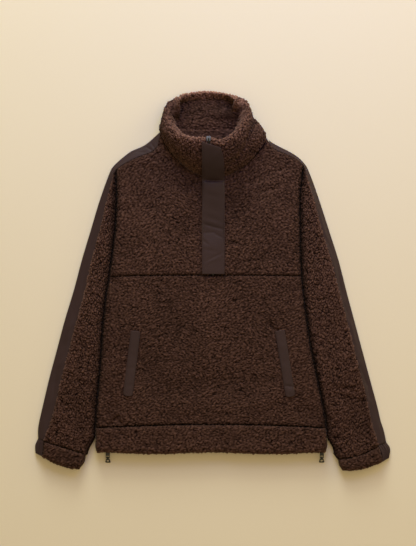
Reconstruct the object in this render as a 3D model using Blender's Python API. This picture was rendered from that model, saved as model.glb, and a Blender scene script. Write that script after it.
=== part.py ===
"""Sherpa fleece pullover with a half zip, laid flat on its back, front up.

Lengths in this file are millimetres in the garment's own frame, and every mesh is written in
metres: +X is the garment's left as it faces up (right-hand side when seen from above with the
collar away), +Y runs from hem to collar, +Z is up, and the floor it lies on is z = 0. Each cut
piece is a closed wall of its own, a seam's gap away from the pieces it is sewn to.
"""
import math
from collections import namedtuple

import bmesh
import bpy
import numpy as np
from mathutils import Vector
from mathutils.bvhtree import BVHTree

MM = 0.001

# Where the garment's own frame sits, so that the origin is the bottom centre of its box.
FRAME_SHIFT = (-1.46, -1.76, 0.0)

# Cloth and seams.
SEAM_GAP = 0.3              # between two pieces that are sewn together
SIDE_CLEARANCE = 0.45       # of body and sleeve, each from the line where they lie side by side
PLY_GAP = 0.5               # between the front and the back lying on each other
FLEECE_PLY = 8.75           # back of body and sleeve, pile pressed flat by the floor
BODY_HEIGHT = 20.0          # front and back together
SLEEVE_HEIGHT = 20.5
CUFF_HEIGHT = 22.0
HEM_BACK_PLY = 11.0         # the hem band is folded double, so it is thicker
HEM_HEIGHT = 26.0
NYLON = 1.8                 # folded nylon strip
STRIP_BEND = 2.2            # radius of a strip's fold round the garment's edge
STRIP_SEAM_HEIGHT = 11.6    # of a strip's upper flap where it is sewn on
GATHER_SEAM_HEIGHT = 13.0
GATHER_WAVES = 7
GATHER_WAVE_HEIGHT = 1.3

# Lines across the body.
YOKE_SEAM_MIDDLE = 13.5
YOKE_SEAM_DROP = 5.0        # at the side seams
HEM_SEAM_MIDDLE = -307.0
HEM_SEAM_DROP = 7.5
HEM_EDGE_MIDDLE = -367.5
HEM_EDGE_DROP = 3.5
BODY_HALF_WIDTH = 248.0

# Half zip.
ZIP_GAP_YOKE = 3.2          # half the slit that the zip fills
ZIP_GAP_RIM = 5.7           # half the slit at the top, where the slider parts the fleece
ZIP_HALF_WIDTH = 2.7
ZIP_THICKNESS = 2.0
ZIP_HEIGHT = 14.5
ZIP_OVER_RIM = 6.0
ZIP_FOOT = 1.5              # its lower end above the yoke seam
ZIP_TURN = 4.0              # from where it lies flat to where it climbs the collar
PLACKET_THICKNESS = 2.0
PLACKET_LIFT = 0.9
PLACKET_REACH = (4.5, 2.0)      # how far across and along it bridges the cloth below
PLACKET_FOOT_ROWS = (0.0, 2.0, 5.0, 10.0)
PLACKET_FLAT = (44.0, 205.0)    # evenly lying stretch on the yoke
PLACKET_CLIMB = 212.0           # where its rows get closer for the collar

# Collar.
COLLAR_PLY = 6.8
COLLAR_PLY_GAP = 0.3
COLLAR_STEPS = 40
COLLAR_LEVELS = (0.0, 0.14, 0.3, 0.5, 0.7, 0.87, 1.0)
RIM_ANGLES = (50.0, 95.0, 138.0, 172.0)
LINING_DROP = 2.4           # the inner layer ends this far below the middle of the rim
NECK_CORNER = 2.5           # the yoke ends this far below the end of the shoulder strip's fold
NECK_CLEARANCE = 5.0        # from the yoke's end there to the collar's foot

# Pocket welts.
WELT_WIDTH = 21.0
WELT_THICKNESS = 2.2
WELT_LIFT = 0.6
WELT_REACH = 3.0

# Hem zip sliders and their pull tabs.
SLIDER_WIDTH = 8.4
SLIDER_LENGTH = 7.0
SLIDER_THICKNESS = 4.4
SLIDER_Z = 8.5
LUG_THICKNESS = 1.3
LUG_WALL = 0.7              # round the pin
LUG_REACH = 4.2             # from the slider's body to the pin's axis
PIN_RADIUS = 0.8
EYE_RADIUS = 2.1
EYE_BORE = 1.3
TAB_THICKNESS = 1.5
TAB_LENGTH = 13.5
TAB_NECK_WIDTH = 4.6
TAB_NECK_LENGTH = 1.4       # beyond the eye
TAB_CORNER = 2.6            # of its wide end
TAB_TOP_WIDTH = 8.0
TAB_END_WIDTH = 11.2
TAB_HOLE_RADIUS = 2.3
TAB_RIM = 2.0               # between the hole and the end
TAB_HANG_DEG = 33.0         # below level, so that its end is just above the floor
HEM_ZIPS = (("left", -224.6), ("right", 236.5))     # where each meets the hem's edge

# Neck slider: its crown, where it parts the zip, and its two flanks.
CROWN_WIDTH = 10.0
FLANK_END_WIDTH = 7.6
CROWN_LENGTH = 10.0
CROWN_THICKNESS = 3.0
CROWN_SLOT = 1.3            # half the slot between the flanks
CROWN_SETBACK = 1.5         # from the end of the zip

Finish = namedtuple("Finish", "label colour roughness metallic")
SHERPA = Finish("sherpa", (0.044, 0.021, 0.013), 0.95, 0.0)
NYLON_CLOTH = Finish("nylon", (0.034, 0.023, 0.019), 0.6, 0.0)
ZIP_TAPE = Finish("zip_tape", (0.012, 0.008, 0.007), 0.7, 0.0)
BRIGHT_METAL = Finish("bright_metal", (0.35, 0.38, 0.40), 0.35, 1.0)
DARK_METAL = Finish("dark_metal", (0.05, 0.05, 0.045), 0.4, 1.0)

# The line where body and sleeve lie side by side: armhole seam, then the open gap below it.
BodyRow = namedtuple("BodyRow", "y left right")
BODY_SIDES = (
    BodyRow(-371, -245.0, 240.5),
    BodyRow(-362, -249.5, 245.8),
    BodyRow(-336, -250.8, 247.2),
    BodyRow(-293, -250.0, 243.5),
    BodyRow(-241, -246.0, 233.5),
    BodyRow(-189, -241.0, 222.5),
    BodyRow(-137, -237.5, 212.0),
    BodyRow(-85, -234.0, 204.5),
    BodyRow(-34, -228.5, 198.0),
    BodyRow(18, -220.5, 193.0),
    BodyRow(70, -213.5, 190.5),
    BodyRow(120, -208.0, 190.0),
    BodyRow(200, -205.5, 190.5),
    BodyRow(225, -206.5, 193.5),
    BodyRow(252, -207.0, 197.4),
)

# Nylon strip over the shoulder, from the neck to the armhole: folded edge and sewn edge.
ShoulderRow = namedtuple("ShoulderRow", "along fold_x fold_y seam_x seam_y")
SHOULDER_LEFT = (
    ShoulderRow(0, -110.5, 324.0, -118.5, 289.5),
    ShoulderRow(1, -143.2, 296.4, -130.5, 279.0),
    ShoulderRow(2, -174.0, 282.0, -156.0, 269.0),
    ShoulderRow(3, -193.3, 267.4, -180.0, 258.5),
    ShoulderRow(4, -208.7, 252.9, -203.0, 244.3),
    ShoulderRow(5, -217.5, 242.4, -212.5, 230.9),
)
SHOULDER_RIGHT = (
    ShoulderRow(0, 124.5, 303.0, 126.5, 293.5),
    ShoulderRow(1, 141.7, 294.2, 136.0, 284.5),
    ShoulderRow(2, 168.0, 281.0, 161.5, 274.0),
    ShoulderRow(3, 188.0, 267.6, 181.5, 264.0),
    ShoulderRow(4, 200.9, 252.3, 195.5, 251.8),
    ShoulderRow(5, 206.3, 244.0, 200.8, 239.0),
)

# Sleeve from its head to the cuff seam: folded edge, sewn edge of the nylon strip, and the height
# on the body line where the inner edge lies, moved away from that line by the inset.
SleeveRow = namedtuple("SleeveRow", "along fold_x fold_y seam_x seam_y inner_y inset")
SLEEVE_LEFT = (
    SleeveRow(0.0, -217.5, 242.4, -212.5, 230.9, 237.6, 0),
    SleeveRow(0.6, -226.8, 219.2, -215.9, 212.2, 206.0, 0),
    SleeveRow(1.5, -241.9, 176.0, -226.6, 171.3, 165.0, 0),
    SleeveRow(3.0, -261.4, 111.2, -242.5, 106.4, 98.0, 0),
    SleeveRow(4.5, -280.8, 46.4, -259.9, 41.3, 31.0, 0),
    SleeveRow(6.0, -298.0, -18.4, -274.3, -24.4, -36.0, 0),
    SleeveRow(7.5, -317.5, -83.2, -292.2, -89.3, -103.0, 0),
    SleeveRow(9.0, -334.8, -148.0, -309.6, -154.4, -172.0, 0),
    SleeveRow(10.5, -352.0, -212.8, -326.9, -219.5, -241.0, 0),
    SleeveRow(12.0, -367.2, -277.6, -342.0, -284.2, -308.0, 0),
    SleeveRow(12.6, -372.6, -301.3, -349.4, -307.3, -333.0, 0),
    SleeveRow(13.1, -375.4, -320.8, -356.6, -326.0, -353.0, 9),
    SleeveRow(13.5, -375.0, -338.5, -362.4, -343.3, -373.3, 24),
)
SLEEVE_RIGHT = (
    SleeveRow(0.0, 206.3, 244.0, 200.8, 239.0, 246.4, 0),
    SleeveRow(0.6, 217.0, 217.0, 208.0, 212.4, 204.0, 0),
    SleeveRow(1.5, 231.2, 176.0, 219.8, 173.0, 165.0, 0),
    SleeveRow(3.0, 252.2, 111.2, 237.0, 108.0, 98.0, 0),
    SleeveRow(4.5, 272.8, 46.4, 256.9, 43.4, 31.0, 0),
    SleeveRow(6.0, 289.4, -18.4, 273.7, -21.4, -36.0, 0),
    SleeveRow(7.5, 306.7, -83.2, 290.5, -86.4, -103.0, 0),
    SleeveRow(9.0, 324.0, -148.0, 307.4, -151.8, -172.0, 0),
    SleeveRow(10.5, 341.3, -212.8, 323.9, -217.4, -241.0, 0),
    SleeveRow(12.0, 358.6, -277.6, 339.3, -282.8, -308.0, 0),
    SleeveRow(12.6, 364.0, -301.3, 343.8, -307.0, -334.0, 0),
    SleeveRow(13.2, 371.5, -325.0, 352.5, -331.3, -362.0, 13),
    SleeveRow(13.6, 375.8, -346.7, 358.1, -353.7, -383.4, 27),
)

# Cuff from its seam to its edge: outer fold, edge of the gathered nylon, and inner fold.
CuffRow = namedtuple("CuffRow", "along fold_x fold_y gather_x gather_y inner_x inner_y")
CUFF_LEFT = (
    CuffRow(0.0, -375.0, -338.5, -362.4, -343.3, -274.0, -374.0),
    CuffRow(0.5, -381.4, -353.5, -364.0, -362.0, -277.5, -389.5),
    CuffRow(1.0, -381.0, -369.5, -366.5, -376.0, -289.0, -404.0),
)
CUFF_RIGHT = (
    CuffRow(0.0, 375.8, -346.7, 358.1, -353.7, 274.2, -384.0),
    CuffRow(0.5, 384.3, -360.5, 365.5, -371.0, 276.5, -395.5),
    CuffRow(1.0, 382.0, -380.0, 367.5, -387.5, 283.5, -406.5),
)
CUFF_SEAM_BOW = (0.0, 6.0)      # left and right cuff, towards the hand
CUFF_EDGE_BOW = (6.5, 6.5)

# Collar from the front edge at +X round the back to the front edge at -X: where the middle of
# the wall stands on the neckline, where it ends inside the rim, how far it bellies out, and how
# thick its inner layer is, which is squeezed where the collar folds over at each side.
CollarRow = namedtuple("CollarRow", "along base_x base_y base_z rim_x rim_y rim_z belly lining")
COLLAR_RING = (
    CollarRow(0.0, 1.0, 227.0, 15.0, -1.6, 299.0, 66.0, 9, 6.8),
    CollarRow(1.0, 30.0, 233.0, 15.5, 20.5, 294.5, 64.0, 9, 6.8),
    CollarRow(2.0, 67.0, 254.0, 17.5, 49.5, 312.0, 56.0, 8, 6.8),
    CollarRow(3.1, 93.0, 278.5, 19.8, 66.0, 335.0, 46.0, 5, 6.4),
    CollarRow(4.6, 110.0, 299.0, 20.4, 74.0, 355.0, 35.0, 1, 5.0),
    CollarRow(6.3, 115.0, 313.0, 15.6, 74.0, 376.0, 23.0, -3, 2.8),
    CollarRow(8.0, 105.0, 322.5, 9.0, 59.0, 392.5, 12.0, -2, 3.4),
    CollarRow(9.2, 80.0, 326.5, 7.0, 31.0, 400.0, 7.0, 0, 6.8),
    CollarRow(10.0, 35.0, 326.5, 7.0, -4.0, 404.13, 7.0, 0, 6.8),
    CollarRow(10.8, -9.0, 326.5, 7.0, -34.0, 402.0, 7.0, 0, 6.8),
    CollarRow(11.7, -49.0, 326.5, 7.0, -59.0, 397.5, 7.0, 0, 6.0),
    CollarRow(12.9, -82.0, 327.0, 7.8, -80.0, 389.0, 11.0, 2, 4.6),
    CollarRow(14.6, -98.5, 324.0, 13.0, -94.5, 373.5, 21.5, 4, 3.6),
    CollarRow(16.3, -97.5, 312.0, 19.6, -96.0, 353.0, 34.0, 8, 5.0),
    CollarRow(17.8, -89.5, 291.0, 20.4, -90.0, 331.5, 46.0, 8, 6.4),
    CollarRow(18.9, -72.0, 269.0, 18.0, -73.0, 310.0, 57.0, 8, 6.8),
    CollarRow(19.9, -43.0, 244.0, 16.0, -44.5, 300.0, 64.0, 9, 6.8),
    CollarRow(20.9, -5.4, 227.0, 15.0, -13.0, 299.0, 66.0, 9, 6.8),
)

# Placket from the yoke seam to its cut top edge.
PlacketRow = namedtuple("PlacketRow", "y left right")
PLACKET_EDGES = (
    PlacketRow(16.0, -21.6, 27.0),
    PlacketRow(120.0, -21.6, 27.0),
    PlacketRow(220.0, -21.6, 26.8),
    PlacketRow(262.0, -21.6, 25.0),
    PlacketRow(296.0, -22.0, 18.5),
)
PLACKET_TOP_SLOPE = 13.0        # the right corner of the top edge lies this much lower

# Pocket welts: the middle of the top end and of the lower end.
Welt = namedtuple("Welt", "name top_x top_y low_x low_y")
WELTS = (
    Welt("pocket_welt_left", -164.0, -106.0, -181.0, -246.0),
    Welt("pocket_welt_right", 145.5, -105.0, 168.5, -247.5),
)

# Soft folds of the upper cloth: ridges have a positive height and troughs a negative one.
Fold = namedtuple("Fold", "x0 y0 x1 y1 width height")
FOLDS = (
    Fold(321, -205, 334, -345, 9, -4.0),
    Fold(334, -215, 349, -335, 9, 2.5),
    Fold(300, -250, 318, -360, 16, -2.5),
    Fold(285, -120, 300, -260, 22, 1.8),
    Fold(245, -240, 330, -262, 14, -2.2),
    Fold(240, 40, 262, -60, 20, 1.8),
    Fold(-300, -245, -270, -345, 20, -2.8),
    Fold(-335, -260, -345, -330, 14, 2.0),
    Fold(-262, 40, -285, -80, 18, 1.6),
    Fold(-300, -120, -262, -180, 20, -1.8),
    Fold(-237, 195, -212, 178, 8, -2.6),
    Fold(-176, -122, -118, -222, 26, -2.4),
    Fold(-118, -222, 10, -196, 24, -2.2),
    Fold(10, -196, 100, -208, 26, -2.0),
    Fold(-8, -20, -14, -150, 34, 2.2),
    Fold(-105, -40, -58, -145, 32, -2.0),
    Fold(76, -25, 138, -135, 34, -2.2),
    Fold(76, -268, 152, -240, 18, 2.2),
    Fold(182, -265, 234, -306, 20, -2.8),
    Fold(-226, -290, -198, -262, 14, -2.4),
    Fold(124, -86, 136, -100, 8, -2.4),
    Fold(-216, 9, -202, -6, 8, -2.8),
    Fold(-180, 150, -110, 60, 30, 2.0),
    Fold(-60, 150, -52, 70, 26, -2.0),
    Fold(90, 180, 170, 110, 30, 2.0),
    Fold(60, 215, 120, 245, 20, -2.2),
    Fold(-150, 235, -95, 215, 18, -2.0),
    Fold(150, 60, 60, 40, 22, -1.6),
)
HEM_FOLDS = (
    Fold(-215, -304, -192, -334, 9, -3.0),
    Fold(-120, -318, -112, -362, 18, -1.6),
    Fold(20, -315, 26, -362, 24, -1.8),
    Fold(70, -318, 92, -350, 14, -1.6),
    Fold(160, -318, 152, -362, 20, -1.6),
)

# How cloth rolls down at a border: over what width, and what share of its height is left there.
Roll = namedtuple("Roll", "width keep")
AT_SIDE = Roll(13.0, 0.34)
AT_STRIP = Roll(9.0, 0.30)
AT_SEAM = Roll(9.0, 0.56)
AT_EDGE = Roll(13.0, 0.30)
AT_SLIT = Roll(5.0, 0.85)
AT_NECK = Roll(12.0, 0.88)
NO_ROLL = Roll(1.0, 1.0)


def clear_scene():
    """Remove every object that the file starts with."""
    for item in list(bpy.data.objects):
        bpy.data.objects.remove(item, do_unlink=True)


def world(points):
    """Points of the garment's frame in metres."""
    return (np.asarray(points, dtype=float) + np.array(FRAME_SHIFT)) * MM


def smooth(rows, at):
    """Rows of a table read at any stations, on a smooth curve through them."""
    table = np.array(rows, dtype=float)
    stations = table[:, 0]
    slopes = np.gradient(table, stations, axis=0)
    at = np.clip(np.atleast_1d(np.asarray(at, dtype=float)), stations[0], stations[-1])
    low = np.clip(np.searchsorted(stations, at, side="right") - 1, 0, len(stations) - 2)
    span = (stations[low + 1] - stations[low])[:, None]
    t = ((at - stations[low])[:, None]) / span
    start = (1 + 2 * t) * (1 - t) ** 2 * table[low] + t * (1 - t) ** 2 * span * slopes[low]
    end = t * t * (3 - 2 * t) * table[low + 1] + t * t * (t - 1) * span * slopes[low + 1]
    return start + end


def eased(count):
    """Fractions from 0 to 1, closer together near both ends."""
    return (1 - np.cos(np.pi * np.arange(count + 1) / count)) / 2


def eased_in(count):
    """Fractions from 0 to 1, closer together near the start."""
    return 1 - np.cos(np.pi / 2 * np.arange(count + 1) / count)


def unit(vectors):
    """The vectors at length one."""
    return vectors / np.linalg.norm(vectors, axis=-1, keepdims=True)


def body_side(side, y):
    """The line between body and sleeve at a height: side -1 is the left, +1 the right."""
    rows = smooth(BODY_SIDES, y)
    return rows[:, 1] if side < 0 else rows[:, 2]


def yoke_seam(x):
    """Height of the seam between yoke and lower front."""
    return YOKE_SEAM_MIDDLE - YOKE_SEAM_DROP * np.abs(x / BODY_HALF_WIDTH) ** 4


def hem_seam(x):
    """Height of the seam between the body and its hem band."""
    return HEM_SEAM_MIDDLE - HEM_SEAM_DROP * (x / BODY_HALF_WIDTH) ** 2


def hem_edge(x):
    """Height of the hem's lower edge."""
    return HEM_EDGE_MIDDLE - HEM_EDGE_DROP * np.sin(np.pi * np.abs(x / BODY_HALF_WIDTH)) ** 2


def zip_line(y):
    """The half zip's middle line, which leans a little towards the collar."""
    return np.interp(y, (13.0, 227.0, 299.0), (2.2, -2.2, -7.3))


def fold_height(points, folds=FOLDS):
    """Sum of the soft folds at points of the plan."""
    total = np.zeros(points.shape[:-1])
    for fold in folds:
        start = np.array((fold.x0, fold.y0), dtype=float)
        run = np.array((fold.x1, fold.y1), dtype=float) - start
        length = np.linalg.norm(run)
        away = points - start
        along = np.clip((away @ run) / length ** 2, 0.0, 1.0)
        gap = np.linalg.norm(away - along[..., None] * run, axis=-1)
        taper = 0.35 + 0.65 * np.sin(np.pi * along)
        total += fold.height * taper * np.exp(-(gap / fold.width) ** 2)
    return total


def patch(low, high, left, right):
    """Grid of plan points inside four border lines, rows from low to high."""
    u = np.linalg.norm(np.diff(low, axis=0), axis=1).cumsum()
    u = np.concatenate(([0.0], u / u[-1]))[None, :, None]
    v = np.linalg.norm(np.diff(left, axis=0), axis=1).cumsum()
    v = np.concatenate(([0.0], v / v[-1]))[:, None, None]
    left[0], left[-1], right[0], right[-1] = low[0], high[0], low[-1], high[-1]
    across = (1 - v) * low[None] + v * high[None]
    along = (1 - u) * left[:, None] + u * right[:, None]
    corners = ((1 - v) * ((1 - u) * low[0] + u * low[-1])
               + v * ((1 - u) * high[0] + u * high[-1]))
    return across + along - corners


def roll_factor(distance, roll):
    """Share of the full height at a distance from a border that rolls down."""
    t = np.clip(distance / roll.width, 0.0, 1.0)
    return roll.keep + (1 - roll.keep) * np.sqrt(1 - (1 - t) ** 2)


def rolled(plan, left, right, low, high):
    """Share of the full height all over a plan grid, from how its four borders roll."""
    across = np.linalg.norm(np.diff(plan, axis=1), axis=-1)
    across = np.concatenate((np.zeros((len(plan), 1)), across.cumsum(axis=1)), axis=1)
    up = np.linalg.norm(np.diff(plan, axis=0), axis=-1)
    up = np.concatenate((np.zeros((1, plan.shape[1])), up.cumsum(axis=0)), axis=0)
    share = roll_factor(across, left) * roll_factor(across[:, -1:] - across, right)
    return share * roll_factor(up, low) * roll_factor(up[-1:] - up, high)


def lift(plan, heights):
    """Plan points with their heights as a third coordinate."""
    heights = np.broadcast_to(np.asarray(heights, dtype=float), plan.shape[:2])
    return np.concatenate((plan, heights[..., None]), axis=2)


def grid_triangles(first, rows, columns):
    """Triangles of a grid of vertices, all cut along the same diagonal."""
    faces = []
    for row in range(rows - 1):
        for column in range(columns - 1):
            a = first + row * columns + column
            b, c, d = a + 1, a + columns + 1, a + columns
            faces.append((a, b, c))
            faces.append((a, c, d))
    return faces


def band_triangles(ring, offset):
    """Triangles between a closed ring of vertices and the same ring a number of vertices on."""
    faces = []
    for here, there in zip(ring, ring[1:] + ring[:1]):
        faces.append((here, here + offset, there + offset))
        faces.append((here, there + offset, there))
    return faces


def wall(name, outer, inner, finish):
    """A closed wall between two grids of points of the same size, as a named object."""
    rows, columns = outer.shape[:2]
    count = rows * columns
    points = world(np.concatenate((outer.reshape(-1, 3), inner.reshape(-1, 3))))
    faces = grid_triangles(0, rows, columns)
    faces += [face[::-1] for face in grid_triangles(count, rows, columns)]
    border = [column for column in range(columns)]
    border += [row * columns + columns - 1 for row in range(1, rows)]
    border += [(rows - 1) * columns + column for column in range(columns - 2, -1, -1)]
    border += [row * columns for row in range(rows - 2, 0, -1)]
    faces += band_triangles(border, count)
    return solid(name, points, faces, finish)


def solid(name, points, faces, finish):
    """A named object of a closed mesh, its faces turned outwards."""
    mesh = bpy.data.meshes.new(name)
    mesh.from_pydata([tuple(point) for point in points], [], faces)
    builder = bmesh.new()
    builder.from_mesh(mesh)
    bmesh.ops.recalc_face_normals(builder, faces=builder.faces)
    if builder.calc_volume(signed=True) < 0:
        bmesh.ops.reverse_faces(builder, faces=builder.faces)
    builder.to_mesh(mesh)
    builder.free()
    mesh.update()
    item = bpy.data.objects.new(name, mesh)
    bpy.context.scene.collection.objects.link(item)
    dress(item, finish)
    return item


def dress(item, finish):
    """Give an object a material of its own with a finish's colour and gloss."""
    material = bpy.data.materials.new(f"{item.name}_{finish.label}")
    material.use_nodes = True
    shader = material.node_tree.nodes["Principled BSDF"]
    shader.inputs["Base Color"].default_value = (*finish.colour, 1.0)
    shader.inputs["Roughness"].default_value = finish.roughness
    shader.inputs["Metallic"].default_value = finish.metallic
    material.diffuse_color = (*finish.colour, 1.0)
    item.data.materials.append(material)


# Body ---------------------------------------------------------------------------------------

def side_line(side, low_y, high_y, count):
    """Edge of a body piece beside the sleeve, from a low to a high end."""
    y = low_y + (high_y - low_y) * eased(count)
    x = body_side(side, y) - side * SIDE_CLEARANCE
    return np.stack((x, y), axis=1)


def seam_line(seam, low_side, fractions, gap):
    """A seam across the body from the left side to the right, a gap above or below it."""
    left = body_side(-1, low_side)[0] + SIDE_CLEARANCE
    right = body_side(1, low_side)[0] - SIDE_CLEARANCE
    x = left + (right - left) * fractions
    return np.stack((x, seam(x) + gap), axis=1)


def front_lower():
    """Lower front between hem band and yoke."""
    half = SEAM_GAP / 2
    columns, rows = 18, 14
    low = seam_line(hem_seam, hem_seam(BODY_HALF_WIDTH), eased(columns), half)
    high = seam_line(yoke_seam, yoke_seam(BODY_HALF_WIDTH), eased(columns), -half)
    left = side_line(-1, low[0, 1], high[0, 1], rows)
    right = side_line(1, low[-1, 1], high[-1, 1], rows)
    plan = patch(low, high, left, right)
    share = rolled(plan, AT_SIDE, AT_SIDE, AT_SEAM, AT_SEAM)
    under = FLEECE_PLY + PLY_GAP
    top = under + (BODY_HEIGHT - under + fold_height(plan)) * share
    return wall("front_lower", lift(plan, top), lift(plan, under), SHERPA)


def shoulder_line(rows, count):
    """Sewn edge of a shoulder strip from the armhole to the neck, with a seam's gap below it."""
    along = rows[-1].along * (1 - eased_in(count))
    table = smooth(rows, along)
    fold, seam = table[:, 1:3], table[:, 3:5]
    return seam + unit(seam - fold) * SEAM_GAP


def meet_side(line, side):
    """A shoulder line whose first point is moved to where it meets the side of the body."""
    line = line.copy()
    inside = (line[:, 0] - (body_side(side, line[:, 1]) - side * SIDE_CLEARANCE)) * side < 0
    first = int(np.argmax(inside))
    outer, inner = line[first - 1].copy(), line[first]
    for _ in range(6):
        edge = body_side(side, line[first - 1, 1])[0] - side * SIDE_CLEARANCE
        share = (edge - outer[0]) / (inner[0] - outer[0])
        line[first - 1] = outer + share * (inner - outer)
    return line[first - 1:]


def front_yoke(name, side, collar_base):
    """One half of the front yoke, from its side to the zip."""
    rows = 10
    strip = SHOULDER_LEFT if side < 0 else SHOULDER_RIGHT
    shoulder = meet_side(shoulder_line(strip, 8), side)
    high = np.concatenate((shoulder, collar_base))
    slit = zip_line(high[-1, 1]) + side * ZIP_GAP_YOKE
    high[-1, 0] = slit
    start = body_side(side, yoke_seam(BODY_HALF_WIDTH))[0] - side * SIDE_CLEARANCE
    end = zip_line(YOKE_SEAM_MIDDLE) + side * ZIP_GAP_YOKE
    spread = np.abs(high[:, 0] - high[0, 0]) / abs(high[-1, 0] - high[0, 0])
    steps = np.linspace(0, 1, len(high))
    x = start + (end - start) * (spread + steps) / 2
    low = np.stack((x, yoke_seam(x) + SEAM_GAP / 2), axis=1)
    outside = side_line(side, low[0, 1], high[0, 1], rows)
    y = low[-1, 1] + (high[-1, 1] - low[-1, 1]) * eased(rows)
    inside = np.stack((zip_line(y) + side * ZIP_GAP_YOKE, y), axis=1)
    plan = patch(low, high, outside, inside)
    over_shoulder = np.arange(len(high)) < len(shoulder)
    keep = np.where(over_shoulder, AT_SEAM.keep, AT_NECK.keep)
    share = rolled(plan, AT_SIDE, AT_SLIT, AT_SEAM, Roll(AT_NECK.width, keep[None, :]))
    under = FLEECE_PLY + PLY_GAP
    top = under + (BODY_HEIGHT - under + fold_height(plan)) * share
    return wall(name, lift(plan, top), lift(plan, under), SHERPA)


def back_panel(neck):
    """Back from the hem band to the shoulders, flat on the floor."""
    rows = 16
    half = SEAM_GAP / 2
    left_shoulder = meet_side(shoulder_line(SHOULDER_LEFT, 8), -1)
    right_shoulder = meet_side(shoulder_line(SHOULDER_RIGHT, 8), 1)
    high = np.concatenate((left_shoulder, neck, right_shoulder[::-1]))
    spread = (high[:, 0] - high[0, 0]) / (high[-1, 0] - high[0, 0])
    fractions = (spread + eased(len(high) - 1)) / 2
    low = seam_line(hem_seam, hem_seam(BODY_HALF_WIDTH), fractions, half)
    left = side_line(-1, low[0, 1], high[0, 1], rows)
    right = side_line(1, low[-1, 1], high[-1, 1], rows)
    plan = patch(low, high, left, right)
    share = rolled(plan, AT_SIDE, AT_SIDE, NO_ROLL, NO_ROLL)
    lowest = FLEECE_PLY * (1 - share)
    return wall("back_panel", lift(plan, lowest), lift(plan, FLEECE_PLY), SHERPA), fractions


def hem_band(name, fractions, facing_up):
    """Hem band, front or back, folded double and puffed."""
    rows = 5
    low_y = hem_edge(BODY_HALF_WIDTH)
    low = seam_line(hem_edge, low_y, fractions, 0.0)
    high = seam_line(hem_seam, hem_seam(BODY_HALF_WIDTH), fractions, -SEAM_GAP / 2)
    left = side_line(-1, low[0, 1], high[0, 1], rows)
    right = side_line(1, low[-1, 1], high[-1, 1], rows)
    plan = patch(low, high, left, right)
    if facing_up:
        share = rolled(plan, AT_EDGE, AT_EDGE, AT_EDGE, AT_SEAM)
        under = HEM_BACK_PLY + PLY_GAP
        top = under + (HEM_HEIGHT - under + fold_height(plan, HEM_FOLDS)) * share
        return wall(name, lift(plan, top), lift(plan, under), SHERPA)
    share = rolled(plan, AT_EDGE, AT_EDGE, AT_EDGE, NO_ROLL)
    lowest = HEM_BACK_PLY * (1 - share)
    return wall(name, lift(plan, lowest), lift(plan, HEM_BACK_PLY), SHERPA)


# Strips, sleeves and cuffs ---------------------------------------------------------------------

def ribbon(name, fold, seam, seam_height, waves=0, wave_height=0.0, points=3):
    """A strip folded round an edge: its front flap up to a seam, and its back on the floor."""
    across = seam - fold
    width = np.linalg.norm(across, axis=1)[:, None]
    direction = across / width
    half = NYLON / 2
    reach = half + STRIP_BEND
    end = width - SEAM_GAP / 2
    turn = np.radians(np.array((270.0, 210.0, 150.0, 90.0)))
    away, height = [end, (end + reach) / 2], [np.full_like(width, half)] * 2
    nx, nz = [np.zeros_like(width)] * 2, [np.full_like(width, -1.0)] * 2
    for angle in turn:
        away.append(reach + STRIP_BEND * np.cos(angle) + 0 * width)
        height.append(reach + STRIP_BEND * np.sin(angle) + 0 * width)
        nx.append(np.cos(angle) + 0 * width)
        nz.append(np.sin(angle) + 0 * width)
    top = reach + STRIP_BEND
    for step in range(1, points + 1):
        share = step / points
        swell = wave_height * math.sin(math.pi * waves * share) * (1 - share)
        away.append(reach + (end - reach) * share)
        height.append(top + (seam_height - half - top) * share ** 0.8 + swell + 0 * width)
        nx.append(np.zeros_like(width))
        nz.append(np.full_like(width, 1.0))
    away, height = np.stack(away, axis=1)[..., 0], np.stack(height, axis=1)[..., 0]
    nx, nz = np.stack(nx, axis=1)[..., 0], np.stack(nz, axis=1)[..., 0]

    def layer(offset):
        plan = fold[:, None] + direction[:, None] * (away + nx * offset)[..., None]
        return np.concatenate((plan, (height + nz * offset)[..., None]), axis=2)

    return wall(name, layer(half), layer(-half), NYLON_CLOTH)


def shoulder_strip(name, rows):
    """Nylon strip over a shoulder, from the collar to the sleeve."""
    along = rows[-1].along * (1 - eased_in(8))
    table = smooth(rows, along)
    fold, seam = table[:, 1:3], table[:, 3:5]
    run = unit(fold[1] - fold[0])
    fold[0] += run * SEAM_GAP
    seam[0] += run * SEAM_GAP
    return ribbon(name, fold, seam, STRIP_SEAM_HEIGHT)


def sleeve_lines(rows, side, count):
    """Fold, strip seam and inner edge of a sleeve, row by row down to the cuff."""
    table = smooth(rows, rows[-1].along * eased(count))
    inner_y, inset = table[:, 5], np.maximum(table[:, 6], 0.0)
    inner_x = body_side(side, inner_y) + side * (SIDE_CLEARANCE + inset)
    return table[:, 1:3], table[:, 3:5], np.stack((inner_x, inner_y), axis=1)


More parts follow.
